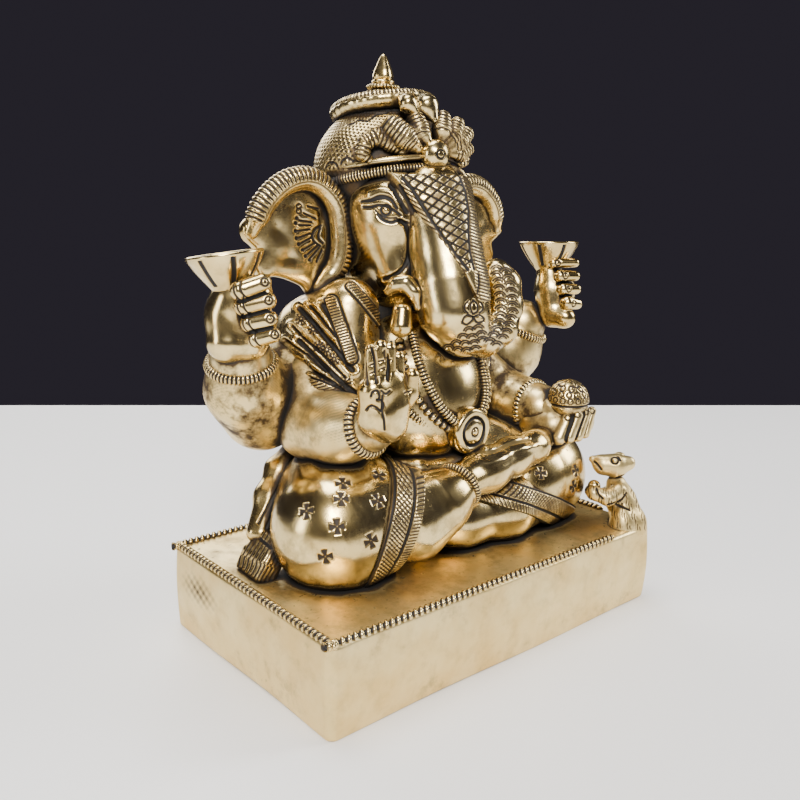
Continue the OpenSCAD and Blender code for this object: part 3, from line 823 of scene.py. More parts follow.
right_crosses = thigh_crosses(right_thigh, right_knee, RIGHT_CROSSES, [5, 15, 0, 10, 0, 5, 20, 10])
left_crosses = thigh_crosses(left_thigh, left_knee, LEFT_CROSSES, [-5, 0, 5])
cast("right_thigh", right_thigh, FINE, right_crosses)
cast("left_thigh", left_thigh, FINE, left_crosses)
print("thighs: %d crosses on the right, %d on the left" % (len(RIGHT_CROSSES), len(LEFT_CROSSES)))

# %% [markdown]
# The shins cross in front, the right foot resting on the left shin with its sole turned up. The
# hems are bands raised a little from the cloth: a black line, a field of crossed cuts, another
# line, and a cord of fine ribs.

# %% Shins, foot and hems
right_shin = above_plinth(limb(on("right_shin", [(-5.2, 3.3, 0, 12.3), (3.3, -5.2, 0.5, 10.2),
                                                 (10.1, -8.2, 4, 7.3), (15.3, -9, 6.9, 5.4)]), 4))
right_foot = limb(on("right_foot", [(-18, -1.4, -0.6, 5.2), (-7.5, 0.1, 0.3, 5.4), (2.5, 0.6, 1.8, 4.8),
                                    (11.5, 1.1, 3, 4), (22.5, 4.1, 4.2, 2.8)]), 4)
left_shin = above_plinth(limb(on("left_shin", [(17.5, 1, -0.8, 11), (4.5, -2.5, -1.3, 9.2),
                                               (-10.5, -1, -2.2, 7.6), (-21.5, 3, -2.8, 6)]), 4))
cast("right_shin", right_shin, PLAIN)
cast("left_shin", left_shin, PLAIN)
foot_chart = facing_eye(place("right_foot", -7.5, -4.4, 2))
FOOT_RIDGE = [(-9.0, 1.6), (-6.6, 1.8), (-3.9, 0.6), (-0.1, 1.9), (3.2, 4.2), (6.8, 5.7), (10.1, 6.7)]
FOOT_TOP = [(-11.4, 3.3), (-8.1, 4.3), (-2.8, 3.9), (2.3, 6.5), (7.4, 8.1)]


def foot_ridge(chase):
    """The bright edge of the upturned sole, with the instep sinking behind it."""
    u, v, facing = foot_chart(chase)
    front = fade(facing, -0.2, 0.1)
    ridge = drawn(u, v, FOOT_RIDGE)
    chase.raise_by(0.4, front * np.exp(-(ridge / 1.0) ** 2))
    chase.groove(drawn(u, v, FOOT_TOP), 1.2, 0.3, front, dark=0.25)


cast("right_foot", right_foot, FINE, foot_ridge)

HEM_STEP = 0.9
HEM_W = 8.5
RIGHT_HEM_TURNS = (0, 15.5, -28)
LEFT_HEM_TURNS = (0, 27, 18)
right_hem_axes = turned_by(*RIGHT_HEM_TURNS)
left_hem_axes = turned_by(*LEFT_HEM_TURNS)
right_hem_middle = place("right_hem_band", -1.7, -4.3, 0.4)
left_hem_middle = place("left_hem_band", 1, -7.7, -0.1)
right_hem = keep(above_plinth(swell(melt(4, right_thigh, right_shin), HEM_STEP)),
                 slab(right_hem_middle, (HEM_W, 34, 50), RIGHT_HEM_TURNS, 0.5), 0.8)
left_hem = keep(above_plinth(swell(melt(4, left_thigh, left_shin), HEM_STEP)),
                slab(left_hem_middle, (52, 30, HEM_W), LEFT_HEM_TURNS, 0.5), 0.8)


def hem_pattern(centre, across, along):
    """Crossed cuts and a ribbed cord between black lines, from the cloth's side outwards."""
    def chasing(chase):
        rel = chase.p - centre
        s, t = rel @ across, rel @ along
        chase.groove(np.abs(s + 3.75), 0.9, 0.6)
        chase.groove(np.abs(s - 1.15), 0.75, 0.5)
        chase.groove(np.abs(s - 4.1), 0.6, 0.4)
        net = band(s, -3.1, 0.6)
        chase.groove(to_ribs(t + 0.7 * s, 1.0), 0.34, 0.2, net, dark=0.9)
        chase.groove(to_ribs(t - 1.5 * s, 1.9), 0.3, 0.15, net, dark=0.8)
        chase.groove(to_ribs(t - 0.4 * s, 0.85), 0.32, 0.22, band(s, 1.7, 3.7), dark=0.9)
    return chasing


right_hem_cuts = hem_pattern(right_hem_middle, right_hem_axes[0], right_hem_axes[2])
left_hem_cuts = hem_pattern(left_hem_middle, -left_hem_axes[2], left_hem_axes[0])
cast("right_hem_band", right_hem, FINE, right_hem_cuts, "engraved")
cast("left_hem_band", left_hem, FINE, left_hem_cuts, "engraved")


def ring_path(centre, radius, turns, count=24, first=0, last=360):
    """Points round a ring that lies flat before it is turned."""
    axes = turned_by(*turns)
    angle = np.radians(np.linspace(first, last, count, endpoint=last - first < 360))
    ring = np.cos(angle)[:, None] * axes[0] + np.sin(angle)[:, None] * axes[1]
    return np.asarray(centre) + radius * ring


anklet = ring_path(place("right_anklet", 0, -0.6, 0.2), 5.5, (0, 68, 10))
set_aside("right_anklet", [strand(anklet, 1.05, 0.8, 0.3, closed=True, rib=0.35)])
print("hems %.1f mm wide" % HEM_W)

# %% [markdown]
# A sash falls from the right hip over the knee and ends in a fringed tassel on the plinth; the
# roll of the waistband shows under the belly.

# %% Sash, tassel and waistband
sash_line = on("dhoti_sash", [(9.4, 3.4, 10.1), (2.4, 3.4, 4.1), (-2.6, 0.9, -1.4), (-8.1, -3.1, -8.9)])
sash_form = above_plinth(melt(3, *[slab((a + b) / 2, (np.linalg.norm(b - a) + 5, 6.5, 8.5),
                                        (0, np.degrees(np.arctan2(a[2] - b[2], np.hypot(*(b - a)[:2]))),
                                         np.degrees(np.arctan2(b[1] - a[1], b[0] - a[0]))), 2.6)
                                   for a, b in zip(sash_line, sash_line[1:])]))
sash_chart = facing_eye(place("dhoti_sash", -2.6, -5.6, -1.9))
SASH_EDGE = [(3.5, 14.3), (0.1, 7.7), (-4.0, 0.8), (-6.5, -3.7)]
SASH_INNER = [(7.3, 10.6), (4.2, 6.6), (0.6, -0.0), (-2.0, -6.1)]
SASH_MID = [(5.0, 12.2), (1.9, 7.1), (-1.7, 0.5), (-4.5, -5.0)]


def sash_folds(chase):
    u, v, facing = sash_chart(chase)
    front = fade(facing, 0.0, 0.2)
    for line, width in ((SASH_EDGE, 0.5), (SASH_MID, 0.6), (SASH_INNER, 0.6)):
        chase.groove(to_line(u, v, line), width, 0.4, front)
    between = (to_line(u, v, SASH_MID) < 2.4) & (u > np.interp(v, [-8, 12], [-5.2, 4.6]))
    chase.groove(to_ribs(v * 0.8 - u * 0.6, 1.0), 0.34, 0.2, front * between, dark=0.9)


tassel_form = above_plinth(melt(1.5, slab(place("sash_tassel", 1.2, -2.3, 1.3), (5, 10.5, 8),
                                          (0, 30, -4), 1.2), slab(place("sash_tassel", -0.8, -1.7, -3),
                                                                  (6, 12, 6.5), (0, 26, -4), 1.2)))
tassel_chart = facing_eye(place("sash_tassel", -2.2, -5.1, -0.2))
TASSEL_TOP = [(-2.7, 8.0), (0.2, 4.7), (2.2, 2.9)]


def tassel_fringe(chase):
    u, v, facing = tassel_chart(chase)
    collar = to_line(u, v, TASSEL_TOP)
    chase.groove(collar, 0.8, 0.5)
    below = v < np.interp(u, [-6, 4], [3.0, -1.5]) - 1.0
    chase.groove(to_ribs(u * 0.85 - v * 0.35 + 0.2 * np.sin(v), 0.95), 0.36, 0.25,
                 fade(facing, 0.1, 0.4) * below, dark=0.95)
    chase.groove(to_ribs(u * 0.8 - v * 0.5, 0.9), 0.3, 0.2, fade(facing, 0.1, 0.4) * ~below, dark=0.9)


waist_line = on("waistband", [(-19.1, 8.3, -1.3, 3), (-11.1, -1.7, -2.3, 3), (-0.1, -5.2, -1.8, 3.1),
                              (7.9, -3.2, 0.2, 3), (15.9, 4.3, 2.2, 3)])
cast("dhoti_sash", sash_form, FINE, sash_folds, "engraved")
cast("sash_tassel", tassel_form, FINE, tassel_fringe, "engraved")
cast("waistband", limb(waist_line, 2), FINE, None, "engraved")
print("sash and tassel reach %.0f mm out" % -tassel_form.low[0])

# %% [markdown]
# ## Body
#
# The belly is one round, polished mass with a few casting pits. The torso behind it carries the
# shoulders and only shows at the sides and back, where the shawl's ends hang.

# %% Torso and belly
torso_bones = [bone(*on("torso", pair)) for pair in (
    [(-0.9, -0.2, -21.7, 16), (-0.9, -1.2, 2.3, 17.5)], [(-0.9, -1.2, 2.3, 17.5), (-0.9, -0.2, 28.3, 12.5)],
    [(-17.9, 1.8, 19.3, 12), (16.1, 1.8, 19.3, 12)], [(-9.9, -0.2, -19.7, 16), (8.1, -0.2, -19.7, 16)])]
torso_form = above_plinth(swell(melt(8, *torso_bones), -3))
belly_form = melt(6, ball_on("belly", 0, 0, -2.3, 21.5), ball_on("belly", 0, 1.5, 4.7, 19.5))
back_chart = Chart(place("torso", -0.9, 22.3, 10.3), (0, 1, 0))


def back_folds(chase):
    """Shawl folds over the shoulders and the tied sash across the back."""
    u, v, facing = back_chart(chase)
    behind = fade(facing, -0.1, 0.3)
    for i in range(6):
        drop = -6 - 5.2 * i
        chase.groove(np.abs(v - drop - 7 * np.cos(u / 13) - 0.02 * u * u), 0.8, 0.5,
                     behind * band(np.abs(u), 0, 24 - i))
    chase.groove(np.abs(v + 30), 0.8, 0.5, behind)
    chase.groove(np.abs(v + 37), 0.8, 0.5, behind)
    chase.groove(to_ribs(u, 1.6), 0.4, 0.3, behind * band(v, -36.4, -30.6), dark=0.9)


cast("torso", torso_form, COARSE, back_folds, "aged")
cast("belly", belly_form, PLAIN)

# %% [markdown]
# The shawl crosses both shoulders. On the right it is pulled down to the wrist in deep pleats
# that fan out like the ribs of a hand fan, with a ribbed border and small rosettes between the
# folds. A fold is modelled as a black valley and a swelling on each side of it, so the light
# breaks on its crest.

# %% Shawl
shawl_axis = on("right_shawl", [(0, 5.5, 4, 13), (3, -2.5, 13, 8), (-2, -5.5, -7, 11),
                                (1, -10.5, -13, 8)])
right_shawl = swell(web(7, shawl_axis, ((0, 1), (0, 2), (1, 2), (2, 3), (0, 3), (1, 3))), -3)
left_axis = on("left_shawl", [(0.7, 3.5, 2, 11), (-4.3, -5.5, 9, 7), (-0.3, -6.5, -8, 8)])
left_shawl = swell(web(6, left_axis, ((0, 1), (0, 2), (1, 2))), -1.7)
shawl_chart = facing_eye(place("right_shawl", -7, -12.5, 5))
PLEATS = [([(-11.1, 9.9), (-7.3, 6.0), (-3.4, 1.6), (0.1, -2.3), (2.9, -5.7)], 1.25),
          ([(-4.9, 10.7), (-2.7, 7.1), (-0.4, 3.4), (2.1, -0.3)], 1.25),
          ([(-10.7, 1.3), (-6.3, -2.9), (-1.6, -7.3), (3.5, -11.7)], 1.3),
          ([(-16.1, -1.8), (-11.2, -3.9), (-6.3, -6.6), (-1.8, -9.0), (2.2, -12.4)], 0.9),
          ([(-8.4, 10.6), (-5.4, 7.5), (-1.4, 2.4)], 0.55),
          ([(-12.7, 5.2), (-9.8, 2.3), (-4.8, -1.9), (0.9, -7.5)], 0.55),
          ([(-14.4, 1.5), (-9.0, -1.9), (-3.8, -6.3)], 0.5),
          ([(-14.8, -11.4), (-8.9, -12.3), (-2.7, -13.7), (2.3, -15.7)], 0.7)]
BORDERS = [([(-2.7, 11.5), (-1.0, 6.8), (0.8, 2.2), (2.6, -2.7)], 1.3),
           ([(2.2, 15.5), (5.2, 12.4), (7.9, 9.4), (10.9, 6.0)], 0.9),
           ([(-16.3, -7.4), (-10.2, -8.6), (-5.2, -10.0), (-0.8, -11.7)], 1.0)]
ROSETTES = [(-5.6, -0.1), (-1.8, -3.3), (-7.1, 4.3), (-3.6, -0.9), (-8.7, -5.1), (-4.8, -8.3),
            (0.9, -9.0), (-10.3, 6.9)]


def shawl_folds(chase):
    u, v, facing = shawl_chart(chase)
    front = fade(facing, -0.15, 0.1)
    open_cloth = np.ones(len(u))
    for border, half in BORDERS:
        away = to_line(u, v, border)
        open_cloth *= fade(away, half + 0.3, half + 0.7)
        chase.raise_by(0.3, front * (away < half + 0.2))
        chase.groove(to_ribs(v - 0.3 * u, 0.78), 0.32, 0.3, front * (away < half), dark=0.95)
        chase.groove(np.abs(away - half - 0.45), 0.5, 0.5, front)
    for pleat, width in PLEATS:
        away = to_line(u, v, pleat)
        chase.raise_by(0.5, front * open_cloth * np.exp(-((away - width / 2 - 0.8) / 0.6) ** 2))
        chase.groove(away, width, 1.1, front * open_cloth)
    for place_u, place_v in ROSETTES:
        r = np.hypot(u - place_u, v - place_v)
        spoke = to_ribs(np.arctan2(v - place_v, u - place_u), np.pi / 4) * r
        chase.groove(np.maximum(spoke, np.abs(r - 0.95) - 0.5), 0.34, 0.25, front * open_cloth,
                     dark=0.95)
        chase.groove(np.abs(r - 1.35), 0.25, 0.12, front * open_cloth, dark=0.6)


def left_shawl_folds(chase):
    rel = chase.p - place("left_shawl", 0.7, -12.5, 2)
    front = fade(-chase.n[:, 1], -0.3, 0.1)
    hub = np.arctan2(rel[:, 2] + 22, rel[:, 0] + 6)
    chase.groove(to_ribs(hub, 0.22) * 22, 1.0, 0.9, front)
    chase.groove(to_ribs(rel[:, 2] * 0.9, 0.8), 0.3, 0.2, front * band(hub % 0.44, 0.06, 0.16, 0.02),
                 dark=0.8)


cast("right_shawl", right_shawl, FINE, shawl_folds, "engraved")
cast("left_shawl", left_shawl, FINE, left_shawl_folds, "engraved")
print("shawl: %d pleats and %d rosettes on the right shoulder" % (len(PLEATS), len(ROSETTES)))

# %% [markdown]
# Three garlands hang from the neck to a round medallion: two ribbed cords with a chain of
# ringlets between them. They are drawn as strands along one set of points, moved outwards for
# each cord.

# %% Garlands and medallion
inner_line = np.array(on("garland_inner", [(-9, 6.4, 11.9), (-10.5, 0.9, 3.9), (-9, -3.6, -4.1),
                                           (-5, -6.1, -9.6), (0, -6.4, -12.1), (5, -6.1, -9.6),
                                           (9, -3.6, -4.1), (10.5, 0.9, 3.9), (9, 6.4, 11.9)]))
garland_middle = place("garland_inner", 0, 8.9, -70.1)
bead_line = (inner_line - garland_middle) * [1.32, 1, 1] + [0, 1.8, -1.4] + garland_middle
outer_line = (inner_line - garland_middle) * [1.62, 1, 1] + [0, 4.4, -2.6] + garland_middle
CORD_R = 1.3
for name, line, pitch, depth, rib in (("garland_inner", inner_line, 0.95, 0.35, 0.4),
                                      ("garland_outer", outer_line, 0.95, 0.35, 0.4),
                                      ("garland_beads", bead_line, 1.9, 0.6, 0.8)):
    set_aside(name, [strand(line, CORD_R, pitch, depth, rib=rib, flat=(0, -1, 0.3))],
              rope(line, CORD_R))

medal_low, medal_high = box_mm("medallion")
medal_r = (medal_high[0] - medal_low[0]) / 2
medal_h = medal_high[1] - medal_low[1]
medal_back = np.array([(medal_low[0] + medal_high[0]) / 2 + 0.9, medal_high[1] - 1.6,
                       (medal_low[2] + medal_high[2]) / 2 + 0.4])


def medal_marks(angle, r, h):
    scale = 1 + 0.012 * np.cos(angle * 5 + 1) * (r > 2)
    dark = np.clip((0.5 - np.abs(r - 3.75)) / 0.25 + 0.5, 0, 1) * (h > medal_h - 2)
    dark = np.maximum(dark, np.clip((0.22 - np.abs(r - 1.15)) / 0.2 + 0.5, 0, 1) * (h > medal_h - 1.5))
    return scale, np.broadcast_to(dark, (len(r), angle.shape[1])).copy()


medal_profile = [(medal_r - 0.3, 0), (medal_r, 1.5), (medal_r, medal_h - 1.6),
                 (medal_r - 0.5, medal_h - 0.75), (medal_r - 1.5, medal_h - 0.6),
                 (medal_r - 2.1, medal_h - 0.9), (medal_r - 2.45, medal_h - 1.5),
                 (medal_r - 2.9, medal_h - 0.8), (2.4, medal_h - 0.45), (1.5, medal_h - 0.4),
                 (1.15, medal_h - 0.7), (0.85, medal_h - 0.3), (0.45, medal_h - 0.05), (0.02, medal_h)]
medal_front = half_space(medal_back - [0, medal_h - 0.6, 0], (0, -1, 0))
set_aside("medallion", [turned(medal_back, (0, -1, 0), medal_profile, 120, medal_marks)],
          keep(ball(np.append(medal_back, medal_r)), medal_front), "polished")
print("medallion %.1f mm across" % (2 * medal_r))

# %% [markdown]
# ## Arms
#
# Four arms: the rear pair has the elbows out and the fists raised with small cups, the front
# right palm is raised, and the front left hand rests on the knee with a sweet. Each arm is a
# chain of bones melted together that simply runs into the body, as it does in the wax.

# %% Rear arms, bangles and cups
right_arm_line = on("right_rear_arm", [(19.2, 3.2, 10.2, 9.5), (8.2, 3.2, -0.8, 9.5),
                                       (-0.8, 1.2, -6.6, 9.5), (-7.8, -1.8, 0.2, 8.8),
                                       (-10, -4.3, 9.2, 7.4)])
rear_arm = limb(right_arm_line, 5)


def fine_hatch(chart, slope_u):
    """Light file marks left across the skin."""
    def chasing(chase):
        u, v, facing = chart(chase)
        patch = fade(np.sin(u * 0.35 + 1.3) + np.sin(v * 0.3), 0.1, 0.9) * band(v, -12, 12, 3)
        chase.groove(to_ribs(v + slope_u * u + 0.35 * np.sin(u * 0.8), 0.7), 0.2, 0.06, patch, dark=0.3)
    return chasing


def bangles(centre, turns, radius):
    """A smooth ring and a ribbed ring side by side on one wrist."""
    lift = turned_by(*turns)[2] * 1.35
    smooth = strand(ring_path(centre - lift, radius, turns), 1.15, closed=True)
    ribbed = strand(ring_path(centre + lift * 0.9, radius, turns), 1.45, 0.95, 0.35, closed=True,
                    rib=0.4)
    return [smooth, ribbed]


cup_low, cup_high = box_mm("right_cup")
cup_foot = foot_of("right_cup")
cup_r, cup_h = (cup_high[0] - cup_low[0]) / 2, cup_high[2] - cup_low[2]
CUP_FLUTES = 7


def cup_marks(angle, r, h):
    outside = (h < cup_h - 0.9) & (r > cup_r * 0.55)
    rib = np.abs((angle / (2 * np.pi) * CUP_FLUTES + 0.35) % 1 - 0.5) * 2 * np.pi * r / CUP_FLUTES
    line = np.clip((0.55 - rib) / 0.25 + 0.5, 0, 1) * outside
    foot = np.clip((0.5 - np.abs(h - 0.5)) / 0.4 + 0.5, 0, 1)
    scale = 1 - 0.045 * line + 0.012 * np.sin(angle * 3 + 1)
    return scale, np.maximum(line, foot * 0.8 * (h < 3))


cup_profile = [(0.02, 0.2), (cup_r * 0.32, 0.1), (cup_r * 0.40, 0.6), (cup_r * 0.42, 1.5),
               (cup_r * 0.58, 3.6), (cup_r * 0.80, 6.4), (cup_r * 0.95, cup_h - 1.8),
               (cup_r * 0.99, cup_h - 0.9), (cup_r, cup_h - 0.4), (cup_r - 0.25, cup_h - 0.06),
               (cup_r - 0.7, cup_h - 0.1), (cup_r - 1.3, cup_h - 0.5), (cup_r * 0.6, cup_h - 2.0),
               (cup_r * 0.25, cup_h - 2.4), (0.02, cup_h - 2.4)]
ACROSS_MIDDLE = np.array([-1, 1, 1], np.float32)


def mirrored(part):
    p, n, faces, dark = part
    return p * ACROSS_MIDDLE, n * ACROSS_MIDDLE, faces[:, ::-1], dark


right_cup_foot = cup_foot + [2.2, 2.2, -0.6]
right_cup = turned(right_cup_foot, (-0.10, 0.12, 1), cup_profile, 126, cup_marks)
left_cup_foot = cup_foot * [-1, 1, 1]
left_cup = turned(left_cup_foot, (0.02, 0.06, 1), cup_profile, 126, cup_marks)
rear_bangle_at = place("right_rear_bangle", 0, 0, 0)
right_rings = bangles(rear_bangle_at, (16, -14, 0), 7.8)
right_arm_chart = facing_eye(place("right_rear_arm", -2.8, -8.8, -4.8))
arm_hatch = fine_hatch(right_arm_chart, 0.6)
cast("right_rear_arm", rear_arm, PLAIN, arm_hatch, "aged")
cast("left_rear_arm", other_side(rear_arm), PLAIN, None, "satin")
right_cup_core, left_cup_core = (
    bone(np.append(foot + [0, 0, 3.2], cup_r * 0.3), np.append(foot + [0, 0, cup_h * 0.65],
                                                               cup_r * 0.5))
    for foot in (right_cup_foot, left_cup_foot))
set_aside("right_cup", [right_cup], right_cup_core, "polished")
set_aside("left_cup", [left_cup], left_cup_core, "polished")
set_aside("right_rear_bangle", right_rings)
set_aside("left_rear_bangle", [mirrored(ring) for ring in right_rings])
print("cups %.1f mm across, %.1f mm high" % (2 * cup_r, cup_h))

# %% [markdown]
# A fist is a palm with four fingers stacked round the cup's foot, the knuckles outwards. Each
# finger is one short thick rod, with an oval nail at its tip and two curved cuts where the
# knuckle bends. The two fists aren't mirror images: the left one is seen from its back.

# %% Fists
def fist_of(node, palm_line, heel, finger_lines):
    """A fist's form, and its fingers as pairs of stations."""
    fingers = [on(node, line) for line in finger_lines]
    palm = melt(2.5, limb(on(node, palm_line), 3), *[ball(station) for station in on(node, heel)])
    return melt(0.5, palm, *[bone(a, b) for a, b in fingers]), fingers


right_fist, right_fingers = fist_of(
    "right_rear_hand",
    [(-4.1, 2.8, -5.4, 5.3), (-3.2, 4, 0.8, 5.1), (-2, 2.8, 4.6, 5.0), (0.9, -0.6, 6, 4.4)],
    [(1.6, -0.2, -1.4, 4.8), (0.1, 0.2, -6.2, 4.0)],
    [[(-5.7, -5.3, 7.6, 2.3), (-1.4, -7.8, 9.4, 2.15)], [(-4.4, -4.8, 4, 2.3), (-0.3, -8.1, 5.3, 2.15)],
     [(-3.1, -5.2, 0.1, 2.25), (0, -8.3, 1.1, 2.1)], [(-2.3, -6.4, -3.6, 2.0), (0.5, -9.2, -2.5, 1.8)]])
left_fist, left_fingers = fist_of(
    "left_rear_hand",
    [(4.3, -3.4, -5.3, 4.8), (4.5, -1.5, 1.3, 4.3), (5.2, 0, 8, 3.9)],
    [(4.5, -8.1, -6.6, 3.2), (7.4, -3.9, 1.4, 4.4)],
    [[(2.8, -3.4, 9.9, 1.7), (8.3, -7.5, 10.1, 1.3)], [(3.1, -6.2, 6.2, 1.9), (7.4, -8.6, 6.2, 1.5)],
     [(3.3, -7.6, 2.3, 1.9), (7.1, -9.6, 2.3, 1.5)], [(3.6, -9.2, -1.8, 2.2), (7.1, -10.3, -2.2, 1.6)]])


def finger_marks(fingers, nail_at=0.9, knuckles=True):
    """A nail near each tip, and two curved cuts near each knuckle."""
    def chasing(chase):
        gaps = []
        for root, tip in fingers:
            span = tip[:3] - root[:3]
            held = np.clip((chase.p - root[:3]) @ span / (span @ span), 0, 1)
            gaps.append(np.linalg.norm(chase.p - root[:3] - held[:, None] * span, axis=1) - root[3])
        gaps = np.sort(gaps, axis=0)
        chase.groove(gaps[1] - gaps[0], 1.1, 0.5, gaps[0] < 0.6)
        for root, tip in fingers:
            along = unit(tip[:3] - root[:3])
            length = np.linalg.norm(tip[:3] - root[:3])
            towards = unit(EYE - root[:3])
            rise = unit(np.cross(towards, along))
            rel = chase.p - root[:3]
            s, t = rel @ along, rel @ rise
            on_finger = (np.abs(t) < root[3] + 0.1) * (s > -3.5) * (s < length + 3)
            front = fade(chase.n @ towards, 0.1, 0.4) * on_finger
            nail = np.hypot((s - nail_at * length - 1.2) / 0.8, t)
            chase.groove(np.abs(nail - 0.95), 0.36, 0.25, front, dark=0.95)
            if knuckles:
                bow = 0.16 * t ** 2
                for cut_at in (0.3, -1.3):
                    chase.groove(np.abs(s - cut_at - bow), 0.36, 0.25, front, dark=0.95)
    return chasing


cast("right_rear_hand", right_fist, FINE * 0.9, finger_marks(right_fingers))
cast("left_rear_hand", left_fist, FINE, finger_marks(left_fingers, 0.0, False))
print("fists: %d fingers each" % len(right_fingers))

# %% Front right arm and raised palm
right_front_arm = limb(on("right_front_arm", [(3.4, 13.9, 5.8, 9.5), (-0.1, 7.9, -3.7, 9.3),
                                              (-0.1, -3.1, -3.2, 8.4), (0.9, -14.1, -0.2, 6.2)]), 4)
front_arm_chart = facing_eye(place("right_front_arm", -5.6, -8.1, -3.2))
cast("right_front_arm", right_front_arm, PLAIN, fine_hatch(front_arm_chart, -0.5), "satin")
wrist_ring = ring_path(place("right_front_bangle", 0, 0, 0), 6.2, (74, 0, 8))
set_aside("right_front_bangle", [strand(wrist_ring, 1.6, 1.0, 0.35, closed=True, rib=0.4)])

palm = melt(3, limb(on("right_front_hand", [(1.1, 0.5, -7.9, 4.6), (-2.4, -0.6, -5.9, 4.0),
                                            (-4.3, -1.4, 0.6, 3.0)]), 3),
            limb(on("right_front_hand", [(1.6, 0, -7.9, 4.2), (1.9, -0.8, -3.4, 3.6),
                                         (1.1, -0.8, 1.7, 2.9)]), 3),
            bone(*on("right_front_hand", [(-4.3, -1.4, 0.6, 2.8), (1.1, -0.8, 1.7, 2.8)])))
palm_fingers = []
FINGER_PITCH = 2.7
root, end = on("right_front_hand", [(-5.3, -1.9, 0.6, 1.65), (-5.1, -1.4, 9.9, 1.5)])
for i, rise in enumerate([0, 0.8, 0, -2.4]):
    beside = np.array([i * FINGER_PITCH, 0, 0, 0])
    palm_fingers.append(bone(root + beside, end + beside + [0, 0, rise, 0]))
palm_thumb = limb(on("right_front_hand", [(3.7, -1, -5.4, 2.5), (6.2, -2, -1.4, 2.1),
                                          (6.4, -2.6, 3.1, 1.8)]), 1)
raised_hand = melt(0.6, melt(0.5, palm, *palm_fingers), palm_thumb)
palm_chart = facing_eye(place("right_front_hand", -0.9, -4, -0.9))
PALM_CREASE = [(-2.0, 0.3), (-2.1, -2.9), (-1.6, -5.2), (-1.4, -7.5)]
CURL_LEFT = [(-5.8, -3.0), (-4.7, -2.1), (-3.3, -2.5), (-2.4, -3.2), (-1.7, -2.0), (-2.2, -0.9),
             (-3.3, -0.7)]
CURL_TOP = [(-4.7, -0.0), (-4.3, 1.1), (-3.2, 1.4), (-2.7, 0.2), (-2.9, -0.7)]
CURL_RIGHT = [(-2.3, 1.4), (-1.3, 0.7), (-0.4, 1.4)]
FINGER_GAPS = [[(-7.0, 10.2), (-6.3, 7.0), (-5.7, 2.9)], [(-4.8, 11.2), (-3.8, 8.0), (-3.4, 3.4)],
               [(-1.6, 10.3), (-1.0, 7.1), (-0.9, 3.9)]]
FINGER_JOINTS = [[(-8.1, 5.8), (-6.7, 6.1)], [(-7.8, 4.0), (-6.4, 4.3)], [(-5.1, 7.0), (-4.0, 7.5)],
                 [(-4.9, 5.2), (-3.7, 5.7)], [(-3.1, 8.0), (-2.0, 8.3)], [(-2.8, 6.2), (-1.7, 6.7)],
                 [(-1.3, 8.3), (-0.4, 8.5)], [(3.0, 1.1), (4.4, 1.6)]]


def palm_lines(chase):
    u, v, facing = palm_chart(chase)
    front = fade(facing, 0.1, 0.4)
    for gap in FINGER_GAPS:
        chase.groove(to_line(u, v, gap), 0.75, 0.9, front)
    for line in [PALM_CREASE, CURL_LEFT, CURL_TOP, CURL_RIGHT]:
        chase.groove(drawn(u, v, line), 0.5, 0.4, front)
    for joint in FINGER_JOINTS:
        chase.groove(to_line(u, v, joint), 0.36, 0.25, front, dark=0.9)


cast("right_front_hand", raised_hand, FINE * 0.9, palm_lines)

# %% Front left arm, hand and sweet
left_front_arm = limb(on("left_front_arm", [(-6.9, 7.4, 6.1, 10), (3.1, 3.4, -4.9, 9.5),
                                            (4.1, -6.6, -6.4, 8.5), (4.6, -14.6, -5.9, 7.5)]), 4)
cast("left_front_arm", left_front_arm, PLAIN, None, "aged")
left_ring = ring_path(place("left_front_bangle", 0, 0, -1.5), 7.2, (88, 0, 2))
set_aside("left_front_bangle", [strand(left_ring, 1.6, 1.1, 0.35, closed=True, rib=0.4)])
left_palm = melt(2, limb(on("left_front_hand", [(-2.1, 4.7, -3.3, 6.3), (-1.8, -0.4, -3.2, 5.4)]), 3),
                 bone(*on("left_front_hand", [(-0.1, -0.3, -2.6, 5.2), (5.7, -3.8, -1.8, 4.6)])))
left_hand_fingers = [on("left_front_hand", line) for line in (
    [(-1.7, -5.5, 0.3, 1.8), (-5, -5.6, -4.8, 2.0)], [(0.6, -7.1, 1.5, 1.75), (-2.6, -7, -4.6, 1.9)],
    [(3.6, -7.6, 2, 1.6), (0.6, -7.7, -4.6, 1.75)], [(7, -7.2, 1.7, 1.4), (4.2, -7.4, -4.4, 1.6)])]
left_thumb = limb(on("left_front_hand", [(-3.6, 4.5, 0.9, 3.4), (-2.1, 1, 2.6, 2.4),
                                         (-1.8, -2.8, 2.1, 1.7)]), 2)
left_hand = melt(0.5, left_palm, left_thumb, *[bone(a, b) for a, b in left_hand_fingers])
left_finger_cuts = finger_marks([(b, a) for a, b in left_hand_fingers], 0.8, False)
cast("left_front_hand", left_hand, FINE, left_finger_cuts, "satin")

SWEET_R = 6.0
sweet_middle = place("modak", -0.2, -0.9, 0.4)
sweet_form = ball(np.append(sweet_middle, SWEET_R))


def sweet_rings(chase):
    rel = chase.p - sweet_middle
    longitude = np.arctan2(rel[:, 1], rel[:, 0])
    for row, (lift, count) in enumerate(((0.7, 16), (2.5, 14), (4.1, 10), (5.2, 5))):
        waist = np.sqrt(SWEET_R ** 2 - lift ** 2)
        du = to_ribs(longitude + row * 0.2, 2 * np.pi / count) * waist
        r = np.hypot(du, rel[:, 2] - lift)
        chase.groove(np.abs(r - 0.75), 0.32, 0.22, fade(rel[:, 2], -0.5, 0.2), dark=0.9)
    chase.groove(np.abs(rel[:, 2] + 0.9), 0.7, 0.6)


cast("modak", sweet_form, FINE, sweet_rings, "engraved")
print("sweet %.1f mm across" % (2 * SWEET_R))

